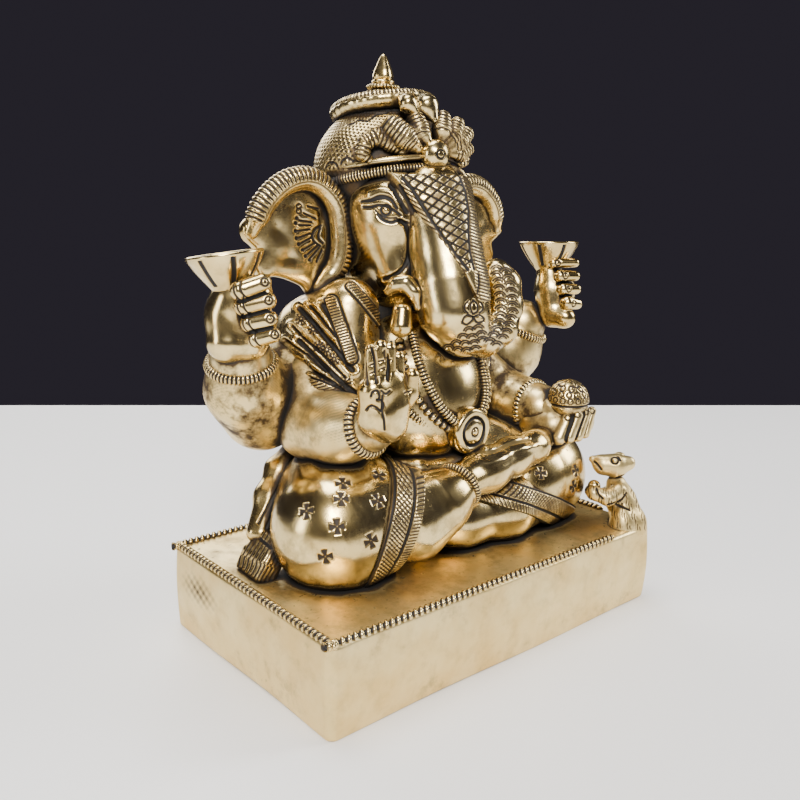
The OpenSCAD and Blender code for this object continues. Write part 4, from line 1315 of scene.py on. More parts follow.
# %% [markdown]
# ## Head
#
# The elephant's head is a skull, two brows and two full cheeks melted together, with the trunk
# leaving from between the eyes. The eye is drawn, not modelled in the round: a heavy lid line
# with a tail, a ring for the iris, and a dark crescent under it.

# %% Head form
brow_line = on("head", [(0, 1.5, 8.3, 17.5), (-7, -6.5, 8.3, 10.5), (7, -6.5, 8.3, 10.5),
                        (0, 0.5, -5.7, 14)])
cheek_line = on("head", [(-9.5, -8.5, 4.3, 8.5), (-9, -11.5, -5.7, 7.7)])
skull = web(6, brow_line, ((0, 1), (0, 2), (1, 2), (0, 3), (1, 3), (2, 3)))
cheek = bone(*cheek_line)
head_form = swell(melt(4, skull, cheek, other_side(cheek)), -1.8)
eye_chart = facing_eye(place("head", -15, -14.5, 4.3))
LID_LINE = [(-6.9, 7.2), (-4.6, 7.5), (-2.1, 8.3), (0.4, 7.9), (2.2, 5.7)]
LID_TAIL = [(-6.3, 5.8), (-4.6, 5.8), (-2.6, 6.3), (-0.6, 6.1), (1.7, 5.0), (3.2, 4.0)]
EYE_LOWER = [(-3.3, 5.1), (-2.0, 3.9), (-0.0, 3.2), (2.2, 3.3)]
CRESCENT = [(-2.5, 3.9), (-1.3, 2.7), (0.8, 2.1), (2.8, 2.8)]
IRIS = (-0.6, 5.2)
BROW_FOLD = [(-4.9, 9.2), (-2.2, 10.0), (0.8, 9.4), (2.9, 7.0)]
CHEEK_EDGE = [(3.3, 2.6), (4.8, 1.1), (5.7, -2.1), (5.7, -5.3), (4.6, -8.6), (2.3, -10.9),
              (-0.7, -12.3)]
WEDGE = [(0.5, 11.5), (1.9, 9.1), (3.2, 7.0), (4.7, 4.8)]
EYE_CORNER = [(2.8, 2.5), (5.0, 2.1)]
EYE_CUTS = [(LID_TAIL, 0.7, 0.4), (EYE_LOWER, 0.4, 0.25), (CRESCENT, 0.85, 0.35),
            (CHEEK_EDGE, 1.1, 0.8), (WEDGE, 1.2, 0.7)]


def eye_lines(chase):
    """Draws the right side's lines; the left side is the same, seen in a mirror."""
    for flip in (1, -1):
        p, n = in_mirror(chase, flip)
        u, v, facing = eye_chart.read(p, n)
        front = fade(facing, 0.0, 0.3) * (p[:, 0] < 0.5)
        lid = drawn(u, v, LID_LINE)
        chase.groove(lid, np.interp(u, [LID_LINE[0][0], LID_LINE[2][0], LID_LINE[4][0]],
                                    [0.6, 1.3, 0.7]), 0.45, front)
        for line, width, depth in EYE_CUTS:
            chase.groove(drawn(u, v, line), width, depth, front)
        iris = np.hypot(u - IRIS[0], v - IRIS[1])
        chase.groove(np.abs(iris - 1.25), 0.6, 0.3, front)
        chase.raise_by(0.3, front * (1 - fade(iris, 0.2, 1.1)))
        chase.raise_by(0.5, front * np.exp(-(drawn(u, v, BROW_FOLD) / 0.9) ** 2))
        chase.groove(to_line(u, v, EYE_CORNER), 0.8, 0.4, front)


cast("head", head_form, FINE, eye_lines)
print("head: lid line %.1f mm long" % (LID_LINE[-1][0] - LID_LINE[0][0]))

# %% [markdown]
# The trunk drops from the brow, swings to the figure's left and curls up. Scales are cut as
# rows of small arcs over the curl, and a flower sits where the forehead panel ends.

# %% Trunk
trunk_line = on("trunk", [(-5.6, 6.2, 15.4, 10.2), (-6.1, 1.2, 9.2, 8.6), (-6.7, -1.6, 2.7, 8.7),
                          (-7.4, -5, -5.7, 9.0), (-7.3, -7.2, -12.2, 8.8), (-4.8, -8.3, -17.4, 7.0)])
trunk_curl = on("trunk", [(-4.9, -8.3, -17.7, 6.6), (2.3, -8.4, -19.9, 5.2), (8.2, -8.9, -17.9, 4.8),
                          (10.9, -8.1, -12.2, 4.7), (10.5, -7.4, -6.6, 4.6), (8.8, -6.2, -3.4, 3.8)])
trunk_form = melt(0.8, limb(trunk_line, 3), limb(trunk_curl, 1.5))
trunk_chart = facing_eye(place("trunk", -1.6, -14.8, -10.6))
PETALS = [[(-5.7, 1.0), (-6.4, -0.0), (-6.4, -1.3), (-5.6, -2.0)],
          [(-4.4, 1.3), (-5.1, 0.0), (-4.8, -1.5), (-4.3, -2.2)],
          [(-4.4, 1.3), (-3.4, 0.1), (-3.3, -1.4), (-4.3, -2.2)],
          [(-2.9, 1.1), (-2.1, 0.1), (-2.0, -1.1), (-2.8, -1.9)],
          [(-4.2, -3.0), (-5.5, -2.5), (-6.5, -3.1), (-7.0, -4.4)],
          [(-4.2, -3.0), (-4.7, -4.0), (-5.9, -4.9), (-7.0, -4.4)],
          [(-4.2, -3.0), (-3.0, -2.4), (-1.7, -3.1), (-1.6, -3.9)],
          [(-4.2, -3.0), (-3.4, -4.2), (-2.4, -4.2), (-1.6, -3.9)]]
SCALE_ROOTS = [(-5.1, -6.1), (-2.8, -5.5), (-6.6, -7.9), (-4.3, -7.9), (-2.0, -7.0), (-8.3, -9.6),
               (-6.0, -9.7), (-3.7, -9.4), (-1.7, -8.5), (-10.3, -10.9), (-7.9, -11.3), (-5.6, -11.5),
               (-3.4, -10.9), (-12.6, -12.1), (-10.2, -13.0)]
CURL_LEFT_COLUMN = [(0.9, 10.3), (1.0, 8.6), (1.6, 6.9), (1.7, 5.1), (2.1, 3.3), (2.4, 1.6),
                    (2.5, -0.2), (2.6, -2.0), (2.4, -3.7), (2.0, -5.5), (1.1, -7.1), (0.1, -8.7)]
CURL_RIGHT_COLUMN = [(3.5, 9.7), (4.1, 7.9), (4.7, 6.2), (5.0, 4.5), (5.4, 2.7), (5.5, 0.9),
                     (5.6, -0.8), (5.4, -2.6), (5.0, -4.4), (4.3, -6.2), (3.4, -7.8), (1.9, -9.6)]


def trunk_marks(chase):
    u, v, facing = trunk_chart(chase)
    front = fade(facing, -0.05, 0.25)
    for petal in PETALS:
        chase.groove(drawn(u, v, petal, 5), 0.42, 0.3, front)
    for root_u, root_v in SCALE_ROOTS:
        for radius in (1.5, 0.95):
            chase.groove(to_arc(u, v, (root_u, root_v - 0.8), radius, 35, 165), 0.34, 0.25, front,
                         dark=0.95)
    for column in (CURL_LEFT_COLUMN, CURL_RIGHT_COLUMN):
        for root_u, root_v in column:
            for radius in (1.75, 1.15):
                chase.groove(to_arc(u, v, (root_u, root_v - 1.2), radius, 30, 150), 0.36, 0.25, front,
                             dark=0.95)


cast("trunk", trunk_form, FINE, trunk_marks)
scales = len(SCALE_ROOTS) + len(CURL_LEFT_COLUMN) + len(CURL_RIGHT_COLUMN)
print("trunk: %d scale arcs" % (2 * scales))

# %% [markdown]
# The forehead panel is a long triangle standing a millimetre proud: a net of crossed cuts
# between two ribbed borders that meet over the trunk.

# %% Forehead panel
PANEL_STEP = 0.9
panel_ground = swell(melt(3, skull, trunk_form), PANEL_STEP)


def prism(node, corners, low_y, high_y):
    """A flat outline in x and z, pushed through along y."""
    outline = np.array([place(node, x, 0, z)[[0, 2]] for x, z in corners])

    def distance(x, y, z):
        worst = None
        for a, b in zip(outline, np.roll(outline, -1, axis=0)):
            out = unit([b[1] - a[1], a[0] - b[0]]).astype(np.float32)
            edge = (x - np.float32(a[0])) * out[0] + (z - np.float32(a[1])) * out[1]
            worst = edge if worst is None else np.maximum(worst, edge)
        return np.maximum(worst, np.maximum(np.float32(low_y) - y, y - np.float32(high_y)))

    low = [outline[:, 0].min(), low_y, outline[:, 1].min()]
    high = [outline[:, 0].max(), high_y, outline[:, 1].max()]
    return Form(distance, low, high)


panel_form = keep(panel_ground, prism("forehead_panel",
                                      [(-2.4, -15.8), (2.4, -15.8), (13.5, 15.2), (-13.5, 15.2)], -40,
                                      8), 0.8)
panel_chart = facing_eye(place("forehead_panel", 0, -5.3, 0.7))
PANEL_OUTER = [(-16.5, 11.1), (-13.8, 6.3), (-10.6, 1.9), (-6.9, -2.5), (-3.2, -6.9), (0.0, -10.8),
               (3.0, -15.1)]
PANEL_INNER = [(-15.8, 13.3), (-13.2, 10.5), (-10.5, 6.4), (-7.9, 2.5), (-4.9, -1.4), (-2.0, -4.9),
               (1.5, -8.8)]
PANEL_RIGHT = [(-1.5, 14.2), (0.1, 10.6), (1.1, 5.7), (1.3, 0.2), (1.8, -4.2), (3.0, -8.7)]
PANEL_TIP = [(4.1, -9.7), (4.4, -12.2), (4.0, -14.5)]
NET_A = unit(np.subtract((-4.2, 11.4), (-11.0, 4.9)))
NET_B = unit(np.subtract((-0.7, 6.6), (-11.2, 11.3)))


def panel_marks(chase):
    u, v, facing = panel_chart(chase)
    front = fade(facing, -0.3, 0.0)
    outer = to_line(u, v, PANEL_OUTER)
    inner = to_line(u, v, PANEL_INNER)
    right = to_line(u, v, PANEL_RIGHT)
    inner_u = np.interp(-v, [-q[1] for q in PANEL_INNER], [q[0] for q in PANEL_INNER])
    right_u = np.interp(-v, [-q[1] for q in PANEL_RIGHT], [q[0] for q in PANEL_RIGHT])
    outer_u = np.interp(-v, [-q[1] for q in PANEL_OUTER], [q[0] for q in PANEL_OUTER])
    net = (u > inner_u + 0.4) & (u < right_u - 0.2) & (v > PANEL_INNER[-1][1] + 0.6)
    chase.groove(to_ribs(u * NET_A[1] - v * NET_A[0], 2.05), 0.42, 0.3, front * net)
    chase.groove(to_ribs(u * NET_B[1] - v * NET_B[0] + 0.6, 2.0), 0.42, 0.3, front * net)
    border = (u < inner_u - 0.4) & (u > outer_u + 0.3)
    chase.groove(to_ribs(u * 0.45 + v * 0.9, 0.88), 0.3, 0.25, front * border, dark=0.9)
    far_border = u > right_u + 0.4
    chase.groove(to_ribs(v + u * 0.3, 0.8), 0.3, 0.2, front * far_border, dark=0.85)
    chase.groove(inner, 0.85, 0.5, front)
    chase.groove(outer, 0.9, 0.5, front)
    chase.groove(right, 0.6, 0.4, front)
    chase.groove(to_line(u, v, PANEL_TIP), 0.4, 0.25, front)


cast("forehead_panel", panel_form, FINE * 0.9, panel_marks, "engraved")
right_tusk = limb(on("right_tusk", [(0, -0.8, -1.1, 2.6), (-0.7, -1.3, -4.5, 2.95)]), 2)
tusk_sheath = limb(on("right_tusk", [(-1.2, 3.1, 3.9, 1.3), (-0.6, 1.2, 5.8, 1.6), (1, -0.8, 6.2, 1.7),
                                     (2.3, -2.6, 4, 1.5), (3.2, -3.2, 0.5, 1.2)]), 2)
tusk_form = melt(0.3, right_tusk, tusk_sheath)
cast("right_tusk", tusk_form, FINE)
cast("left_tusk", other_side(tusk_form), FINE)
print("forehead panel and tusks")

# %% [markdown]
# ## Ears
#
# Each ear is a dished plate inside a rolled rim. The rim is one fat band, ribbed on its outer
# half like a rope and smooth on its inner half, with a black line where it meets the plate.
# The plate carries a fan of short cuts with a dot at the end of each pair.

# %% Ear plates and rims
ear_points = on("right_ear", [(-12.7, 0, 1.7, 3), (-9.7, 0, -6.8, 3), (1.8, 0, 12.7, 3),
                              (11.3, -0.5, 11.2, 3), (12.3, -1, -9.8, 3), (6.3, 0, -12.8, 3),
                              (-7.7, 0, 9.2, 3)])
EAR_THICK = 4.0
ear_web = [bone(a, b) for i, a in enumerate(ear_points) for b in ear_points[i + 1:]]
ear_plate = keep(swell(melt(4, *ear_web), -2.2),
                 slab(place("right_ear", 0.3, 0, 0.2), (60, EAR_THICK, 60)), 1.0)
ear_rim_line = on("right_ear_rim", [(-12.6, 1.7, 0.8), (-9.1, 0.7, 8.3), (-2.6, 0.2, 13.3),
                                    (4.9, -0.3, 13.8), (10.9, -1.3, 8.8), (12.8, -1.8, 0.8),
                                    (11.9, -1.8, -7.7), (7.4, -0.3, -13.7)])
EAR_RIM_R = 2.75
rim_curve = curve_through(ear_rim_line, 4)
ear_rim = limb([np.append(point, EAR_RIM_R - 0.9 * (i < 2) - 0.5 * (i > len(rim_curve) - 3))
                for i, point in enumerate(rim_curve)], 1)
ear_middle = place("right_ear", -0.7, -2, 0.2)


def rim_ribs(flip):
    def chasing(chase):
        p, n = in_mirror(chase, flip)
        rel = p - ear_middle
        line = curve_through(rim_curve, 3)
        steps = np.concatenate([[0], np.cumsum(np.linalg.norm(np.diff(line, axis=0), axis=1))])
        run = np.zeros(len(p))
        best = np.full(len(p), 1e9)
        for a, b, s in zip(line, line[1:], steps):
            t = np.clip((p - a) @ (b - a) / ((b - a) @ (b - a)), 0, 1)
            d = ((p - a - t[:, None] * (b - a)) ** 2).sum(axis=1)
            closer = d < best
            best = np.where(closer, d, best)
            run = np.where(closer, s + t * np.linalg.norm(b - a), run)
        outward = rel[:, [0, 2]] / np.maximum(np.linalg.norm(rel[:, [0, 2]], axis=1), 1e-6)[:, None]
        edge_on = (n[:, [0, 2]] * outward).sum(axis=1)
        ribbed = fade(edge_on, -0.25, 0.0) * band(run, 2.5, steps[-1] - 1)
        chase.groove(to_ribs(run, 1.15), 0.42, 0.35, ribbed, dark=0.9)
        chase.groove(np.abs(edge_on + 0.30) * EAR_RIM_R, 0.35, 0.12, band(run, 2.5, steps[-1] - 1),
                     dark=0.5)
    return chasing


ear_chart = facing_eye(place("right_ear", 0.3, -2, -0.8))
EAR_DASHES = [[(2.0, 8.6), (4.8, 8.1)], [(1.0, 6.8), (4.1, 5.6)], [(0.0, 5.0), (3.1, 4.6)],
              [(-0.2, 3.8), (2.8, 3.8)], [(-1.0, 2.3), (2.6, 2.8)], [(-0.5, 0.5), (2.8, 1.8)],
              [(0.5, -0.7), (3.1, 0.8)], [(1.3, -2.2), (3.8, -0.7)], [(2.1, -3.5), (4.6, -1.4)],
              [(2.8, -4.5), (5.1, -1.9)], [(4.4, -5.5), (5.9, -2.4)]]
EAR_DOTS = [(-0.7, 5.5), (-1.0, 4.3), (-1.0, 2.3), (-0.8, 0.5), (-0.2, -1.0), (0.8, -2.5), (1.5, -4.0),
            (2.6, -5.0)]
EAR_RINGS = [(-0.2, 8.5), (-0.2, 7.3)]
EAR_ARCS = [[(5.6, 3.9), (4.1, 2.9), (3.3, 1.3), (3.8, -0.2), (5.4, -1.4)],
            [(5.4, 3.1), (4.9, 1.6), (5.1, 0.4), (6.1, -0.6)]]


def ear_fan(flip):
    def chasing(chase):
        p, n = in_mirror(chase, flip)
        u, v = ear_chart.read(p, n)[:2]
        front = fade(-n[:, 1], 0.3, 0.7)
        for dash in EAR_DASHES:
            chase.groove(to_line(u, v, dash), 0.5, 0.35, front)
        for dot in EAR_DOTS:
            chase.groove(np.hypot(u - dot[0], v - dot[1]), 1.0, 0.35, front)
        for ring in EAR_RINGS:
            chase.groove(np.abs(np.hypot(u - ring[0], v - ring[1]) - 0.6), 0.36, 0.2, front)
        for arc in EAR_ARCS:
            chase.groove(drawn(u, v, arc, 5), 0.6, 0.35, front)
        rear = fade(n[:, 1], 0.4, 0.7)
        swing = np.hypot(p[:, 0] + 14, p[:, 2] - 104)
        chase.groove(to_ribs(swing, 4.5), 0.5, 0.25, rear * band(swing, 8, 28), dark=0.8)
    return chasing


for side, flip, turn in (("right", 1, lambda form: form), ("left", -1, other_side)):
    cast(side + "_ear", turn(ear_plate), FINE, ear_fan(flip), "polished")
    cast(side + "_ear_rim", turn(ear_rim), FINE, rim_ribs(flip), "engraved")
print("ears: %d cuts in each fan" % len(EAR_DASHES))

# %% [markdown]
# ## Turban
#
# The turban leans back: a stippled dome, a ribbed headband, a fan of cloth lobes opening from
# a jewel over the forehead, and a roll round the crown with a cap, a leaf and a small finial.

# %% Dome and headband
turban_form = swell(melt(7,
                         *[ball(s) for s in on("turban", [(-0.8, 2.2, -1, 15.6), (-0.5, 2.7, 1, 16.2),
                                                          (0, -4.8, 3.5, 13),
                                                       (-9.5, -0.3, -2.5, 14.2), (8.5, -0.8, -2.5, 13),
                                                       (0, 0.2, 6, 11.8)])]), -2.2)
turban_centre = place("turban", 0, 0.2, -3)
turban_chart = facing_eye(place("turban", -12, -13.8, 5))
SCALLOP_TOP = [(-10.1, 3.9), (-8.6, 4.4), (-7.2, 5.2), (-5.1, 5.0), (-3.9, 5.7), (-2.7, 6.7),
               (-0.7, 7.0), (1.1, 8.0)]
SCALLOP_FRONT = [(5.9, 5.8), (3.4, 5.9), (1.1, 5.6), (-0.6, 4.6), (-1.6, 3.4), (-3.1, 3.1), (-4.6, 1.9),
                 (-6.6, 0.6)]
DOME_ARCS = [((-13.9, -6.4), 1.5), ((-9.8, -5.3), 1.6)]


def dome_stipple(chase):
    rel = chase.p - turban_centre
    around = np.arctan2(rel[:, 0], -rel[:, 1])
    high = np.arctan2(rel[:, 2], np.hypot(rel[:, 0], rel[:, 1]))
    u, v, facing = turban_chart(chase)
    row = high * 18 / 0.95
    shift = (np.floor(row + 0.5) % 2) * 0.5
    column = around * 17 / 1.15 + shift
    spot = np.hypot(to_ribs(column, 1.0) * 1.15, to_ribs(row, 1.0) * 0.95)
    border = curve_through(SCALLOP_FRONT, 6)
    inside = np.interp(u, border[::-1, 0], border[::-1, 1])
    smooth_area = fade(facing, 0.1, 0.3) * (u > SCALLOP_FRONT[-1][0]) * (v < inside)
    worked = (1 - smooth_area) * band(high, -0.05, 1.15)
    chase.groove(spot, 0.55, 0.22, worked, dark=0.85)
    front = fade(facing, 0.0, 0.3)
    chase.groove(to_line(u, v, border), 0.5, 0.35, front)
    chase.groove(drawn(u, v, SCALLOP_TOP, 5), 0.4, 0.3, front)
    for centre, radius in DOME_ARCS:
        chase.groove(to_arc(u, v, (centre[0], centre[1] - 0.5), radius, 20, 170), 0.5, 0.35, front)


cast("turban", turban_form, FINE, dome_stipple, "engraved")
BAND_TILT = 14
band_axes = (-BAND_TILT, 0, 0)
band_middle = place("turban_headband", 0, 4.2, -1)
headband = ring_path(band_middle - [0, 0, 0.6], 20.6, band_axes, 40, -90 - 128, -90 + 128)
under_band = ring_path(band_middle + [0, 0, 2.2], 20.2, band_axes, 40, -90 - 128, -90 + 128)
set_aside("turban_headband", [strand(headband, 1.35, 0.8, 0.3, 14, rib=0.36),
                              strand(under_band, 0.8, 0, 0, 12)], rope(headband, 1.5))
print("turban: band of %.0f mm" % np.linalg.norm(np.diff(headband, axis=0), axis=1).sum())

# %% Fan of cloth
fan_lobes = [on("turban_fan", line) for line in (
    [(-4.2, -3.7, -5.7, 1.1), (-7.9, -2.3, -5.2, 1.6), (-10.8, -0.6, -3.6, 1.9), (-13.7, 1, -2.2, 1.9),
     (-16.9, 1.9, -3.8, 1.8), (-17.8, 1.8, -6.5, 1.6), (-15.9, 1, -7.9, 1.1)],
    [(-5.3, -5.1, -4.6, 1.5), (-8.4, -3.7, -2.3, 3.0), (-10.2, -1.4, 0.1, 3.2)],
    [(-2.8, -6.1, -3, 1.3), (-4.3, -4.6, -0.4, 2.5), (-4, -2.7, 2.4, 2.5)],
    [(1, -6.5, -2.3, 1.3), (1.8, -6.3, 0.4, 2.4), (3, -5.2, 3, 2.2)],
    [(2.8, -7, -3.2, 1.3), (5.8, -6.7, -0.6, 2.2), (7.8, -5.6, 1.8, 2.1)],
    [(4.3, -6.5, -4.2, 1.3), (8.5, -6.3, -2.4, 2.2), (11.1, -5.8, -0.3, 2.1)],
    [(5, -6.2, -5.4, 1.3), (8.8, -6.1, -5.5, 1.9), (11.5, -6, -4.1, 1.9)])]
fan_lobes.append([station * [-1, 1, 1, 1] for station in fan_lobes[0]])
lobe_forms = [limb(lobe, 1.5) for lobe in fan_lobes]
fan_bed = egg(place("turban_fan", 0, 3, -5.2), (10.5, 6.5, 9))
fan_form = melt(0.3, *lobe_forms, fan_bed)


def fan_cuts(chase):
    """Arcs stacked along each lobe, like the folds of gathered cloth."""
    best = np.full(len(chase.p), 1e9)
    run = np.zeros(len(chase.p))
    for line in fan_lobes:
        start = 0.0
        for a, b in zip(line, line[1:]):
            span = b[:3] - a[:3]
            length = np.linalg.norm(span)
            t = (chase.p - a[:3]) @ span / length ** 2
            held = np.clip(t, 0, 1)
            off = np.linalg.norm(chase.p - a[:3] - t[:, None] * span, axis=1)
            gap = np.linalg.norm(chase.p - a[:3] - held[:, None] * span,
                                 axis=1) - a[3] - held * (b[3] - a[3])
            closer = gap < best
            best = np.where(closer, gap, best)
            run = np.where(closer, start + t * length + 0.10 * off ** 2, run)
            start += length
    on_lobe = fade(-best, -0.6, -0.25)
    chase.groove(to_ribs(run, 1.05), 0.4, 0.3, fade(run, 1.0, 1.8) * on_lobe, dark=0.9)
    # the bed seen between the lobes is darkened
    chase.darken(0.6 * (1 - on_lobe))


cast("turban_fan", fan_form, FINE, fan_cuts, "engraved")

# %% Jewel, crown roll, leaf, cap and finial
jewel_low, jewel_high = box_mm("turban_jewel")
jewel_r, jewel_h = (jewel_high[0] - jewel_low[0]) / 2, jewel_high[1] - jewel_low[1]
jewel_back = np.array([(jewel_low[0] + jewel_high[0]) / 2 - 0.8, jewel_high[1] - 3.2,
                       (jewel_low[2] + jewel_high[2]) / 2])


def jewel_marks(angle, r, h):
    dark = np.clip((0.24 - np.abs(r - 1.05)) / 0.2 + 0.5, 0, 1) * (h > jewel_h - 1.5)
    return np.ones((len(r), angle.shape[1])), np.broadcast_to(dark, (len(r), angle.shape[1])).copy()


jewel_profile = [(jewel_r - 0.2, 0), (jewel_r, 1.4), (jewel_r - 0.15, 2.6), (jewel_r - 0.8, 3.8),
                 (1.9, 4.75), (1.4, 4.95), (1.05, 4.75), (0.7, 5.1), (0.02, 5.2)]
set_aside("turban_jewel", [turned(jewel_back, (-0.30, -1, 0.02), jewel_profile, 96, jewel_marks)],
          ball(np.append(jewel_back - [0, 2, 0], 3.2)), "polished")

crown = place("turban_roll", 0, 0, 0)
ROLL_TILT = 10.5
roll_axes = turned_by(-ROLL_TILT, 0, 0)
roll_line = ring_path(crown - [0, 0, 0.6], 12.4, (-ROLL_TILT, 0, 0), 32)
ROLL_R = 2.3
roll_form = melt(0.5, *[bone(np.append(a, ROLL_R), np.append(b, ROLL_R))
                        for a, b in zip(roll_line, np.roll(roll_line, -1, axis=0))])


def roll_ribs(chase):
    rel = chase.p - crown
    x, y, z = (rel @ axis for axis in roll_axes)
    turn = np.arctan2(y, x) * 14
    upper = fade(z, -0.2, 0.6)
    chase.groove(to_ribs(turn, 1.05), 0.36, 0.25, upper * fade(np.hypot(x, y), 11, 12.2), dark=0.85)
    chase.groove(np.abs(z - 0.1), 0.35, 0.15, fade(np.hypot(x, y), 12, 13), dark=0.5)


cast("turban_roll", roll_form, FINE, roll_ribs, "engraved")
leaf_form = melt(0.3, limb(on("turban_leaf", [(-0.8, 1.2, 5.1, 1.6), (-0.7, -2.3, 2.7, 2.9),
                                              (0, -4.7, -0.5, 1.0)]), 1),
                 limb(on("turban_leaf", [(-5.9, 1.6, 4.9, 1.2), (-6, -0.9, 3.1, 2.2),
                                         (-4.1, -2.7, 0.7, 0.8)]), 1))
cast("turban_leaf", leaf_form, FINE)


def chased_rings(angle, r, h):
    waves = to_ribs(r + 0.35 * np.sin(angle * 9), 1.6)
    dark = np.clip((0.2 - waves) / 0.2 + 0.5, 0, 1) * (r > 3) * (r < 10)
    return np.ones(dark.shape), dark * 0.7


cap_profile = [(11.4, -1.2), (11.9, 0.0), (11.2, 1.2), (9.6, 2.2), (7.4, 3.1), (5.2, 3.7), (3.0, 4.0),
               (0.02, 4.0)]
set_aside("turban_cap", [turned(crown, roll_axes[2] * 0.4 + [0, 0, 0.6], cap_profile, 120,
                                chased_rings)], ball(np.append(crown + [0, 0, -4.5], 9)), "engraved")


def ring_ribs(angle, r, h):
    wave = np.clip((0.16 - to_ribs(angle, 2 * np.pi / 28) * r) / 0.16 + 0.5, 0, 1) * (r > 3.3)
    return 1 - 0.05 * wave, wave * 0.9


ring_profile = [(3.0, -0.3), (3.8, 0.1), (4.45, 0.5), (4.45, 1.1), (3.7, 1.5), (2.9, 1.7), (3.1, 2.0),
                (3.0, 2.4), (2.4, 2.7), (0.02, 2.7)]
set_aside("finial_ring", [turned(foot_of("finial_ring"), (0, 0, 1), ring_profile, 112, ring_ribs)])
tip_low, tip_high = box_mm("finial")
finial_top = tip_high[2] - tip_low[2]
finial_profile = [(0.02, -0.2), (2.2, -0.1), (2.75, 0.5), (2.8, 1.2), (2.5, 2.4),
                  (2.0, finial_top * 0.52), (1.3, finial_top * 0.76), (0.6, finial_top * 0.94),
                  (0.02, finial_top)]
flat_sides = lambda angle, r, h: (1 + 0.045 * np.cos(angle * 4 + 0.9) + 0 * r, 0 * angle * r)
set_aside("finial", [turned(foot_of("finial"), (0, 0, 1), finial_profile, 72, flat_sides)],
          metal="polished")
print("finial tip at %.1f mm" % tip_high[2])

# %% [markdown]
# ## Casting, the dark wash and painted corner shade
#
# The wash stays wherever a cloth can't reach, in the cuts. The corners between pieces and other
# hollows are darkened too: partly the patina a casting holds there, partly painted shade for the
# light that can't reach in. The corners are found by filling a coarse grid with the whole figure
# and blurring it. At a point just off the surface, an open face sees half metal or less, and a
# tight corner sees metal nearly all round.

# %% How enclosed each point is
CELL = 0.8
BLUR = 1.5
MARGIN = 8
ABOVE_SKIN = 0.9
room_low = np.array(cad_box[0]) / MM - MARGIN
room_size = np.ceil((np.array(cad_box[1]) / MM + MARGIN - room_low) / CELL).astype(int)
room = np.zeros(room_size, np.float32)
for piece in figure.values():
    if piece.form is None:
        continue
    first = np.clip(((piece.form.low - room_low) / CELL).astype(int), 0, room_size - 1)
    last = np.clip(((piece.form.high - room_low) / CELL).astype(int) + 2, 1, room_size)
    spans = [(room_low[i] + (np.arange(first[i],
                                       last[i]) + 0.5) * CELL).astype(np.float32) for i in range(3)]
    inside = piece.form(spans[0][:, None, None], spans[1][None, :, None], spans[2][None, None, :])
    region = tuple(slice(first[i], last[i]) for i in range(3))
    room[region] = np.maximum(room[region], np.clip(0.5 - inside / CELL, 0, 1))


def blurred(grid, sigma):
    reach = int(3 * sigma) + 1
    weights = np.exp(-0.5 * (np.arange(-reach, reach + 1) / sigma) ** 2)
    weights = (weights / weights.sum()).astype(np.float32)
    for axis in range(3):
        padded = np.pad(grid, [(reach, reach) if i == axis else (0, 0) for i in range(3)])
        grid = sum(w * np.take(padded, range(k, k + grid.shape[axis]), axis=axis) for k,
                   w in enumerate(weights))
    return grid


room = blurred(room, BLUR / CELL)


def enclosed(points, normals):
    """How much metal there is round a spot just off the surface, 0 to 1."""
    spot = (points + ABOVE_SKIN * normals - room_low) / CELL - 0.5
    base = np.clip(np.floor(spot).astype(int), 0, np.array(room.shape) - 2)
    t = np.clip(spot - base, 0, 1)
    total = 0
    for dx in (0, 1):
        for dy in (0, 1):
            for dz in (0, 1):
                weight = np.abs(1 - dx - t[:, 0]) * np.abs(1 - dy - t[:, 1]) * np.abs(1 - dz - t[:, 2])
                total = total + weight * room[base[:, 0] + dx, base[:, 1] + dy, base[:, 2] + dz]
    return total


print("room: %d x %d x %d cells" % tuple(room.shape))

# %% Cast every piece
def cast_piece(item):
    name, piece = item
    if piece.skin is None:
        p, n, faces = skin(piece.form, piece.step)
        chase = Chasing(p, n)
        if piece.chasing:
            piece.chasing(chase)
        return name, p + chase.lift[:, None] * n, n, faces, chase.dark
    return (name, *piece.skin)


with ThreadPoolExecutor(4) as pool:
    castings = list(pool.map(cast_piece, figure.items()))
print("cast %d pieces, %.2f million faces" % (len(castings), sum(len(c[3]) for c in castings) / 1e6))

# %% [markdown]
# ## Brass
#
# One alloy, several states. Polished brass is pale gold and clear; satin brass is the same
# under fine file marks; engraved brass is brighter on its ridges; the plinth's sides were filed
# and left with pits, and a patch of painted shade lies high on one side. The dark wash is not
# metal: it is a rough brown-black film, so where it lies the metallic value drops and the
# roughness rises. The same film darkens tight corners as patina together with painted shade,
# and tarnish drifts thicker towards them, partly as painted shade. Object coordinates in metres
# drive the noise, so the scratches and the colour drift have their real size.

# %% Brass materials
GOLD = (0.76, 0.55, 0.21)
PALE_GOLD = (0.88, 0.70, 0.34)
DEEP_GOLD = (0.36, 0.24, 0.075)
# brown and black of the film: the wash and patina, and painted shade in tight corners
WASH_AND_SHADE_BROWN = (0.080, 0.046, 0.016)
WASH_AND_SHADE_BLACK = (0.009, 0.007, 0.006)


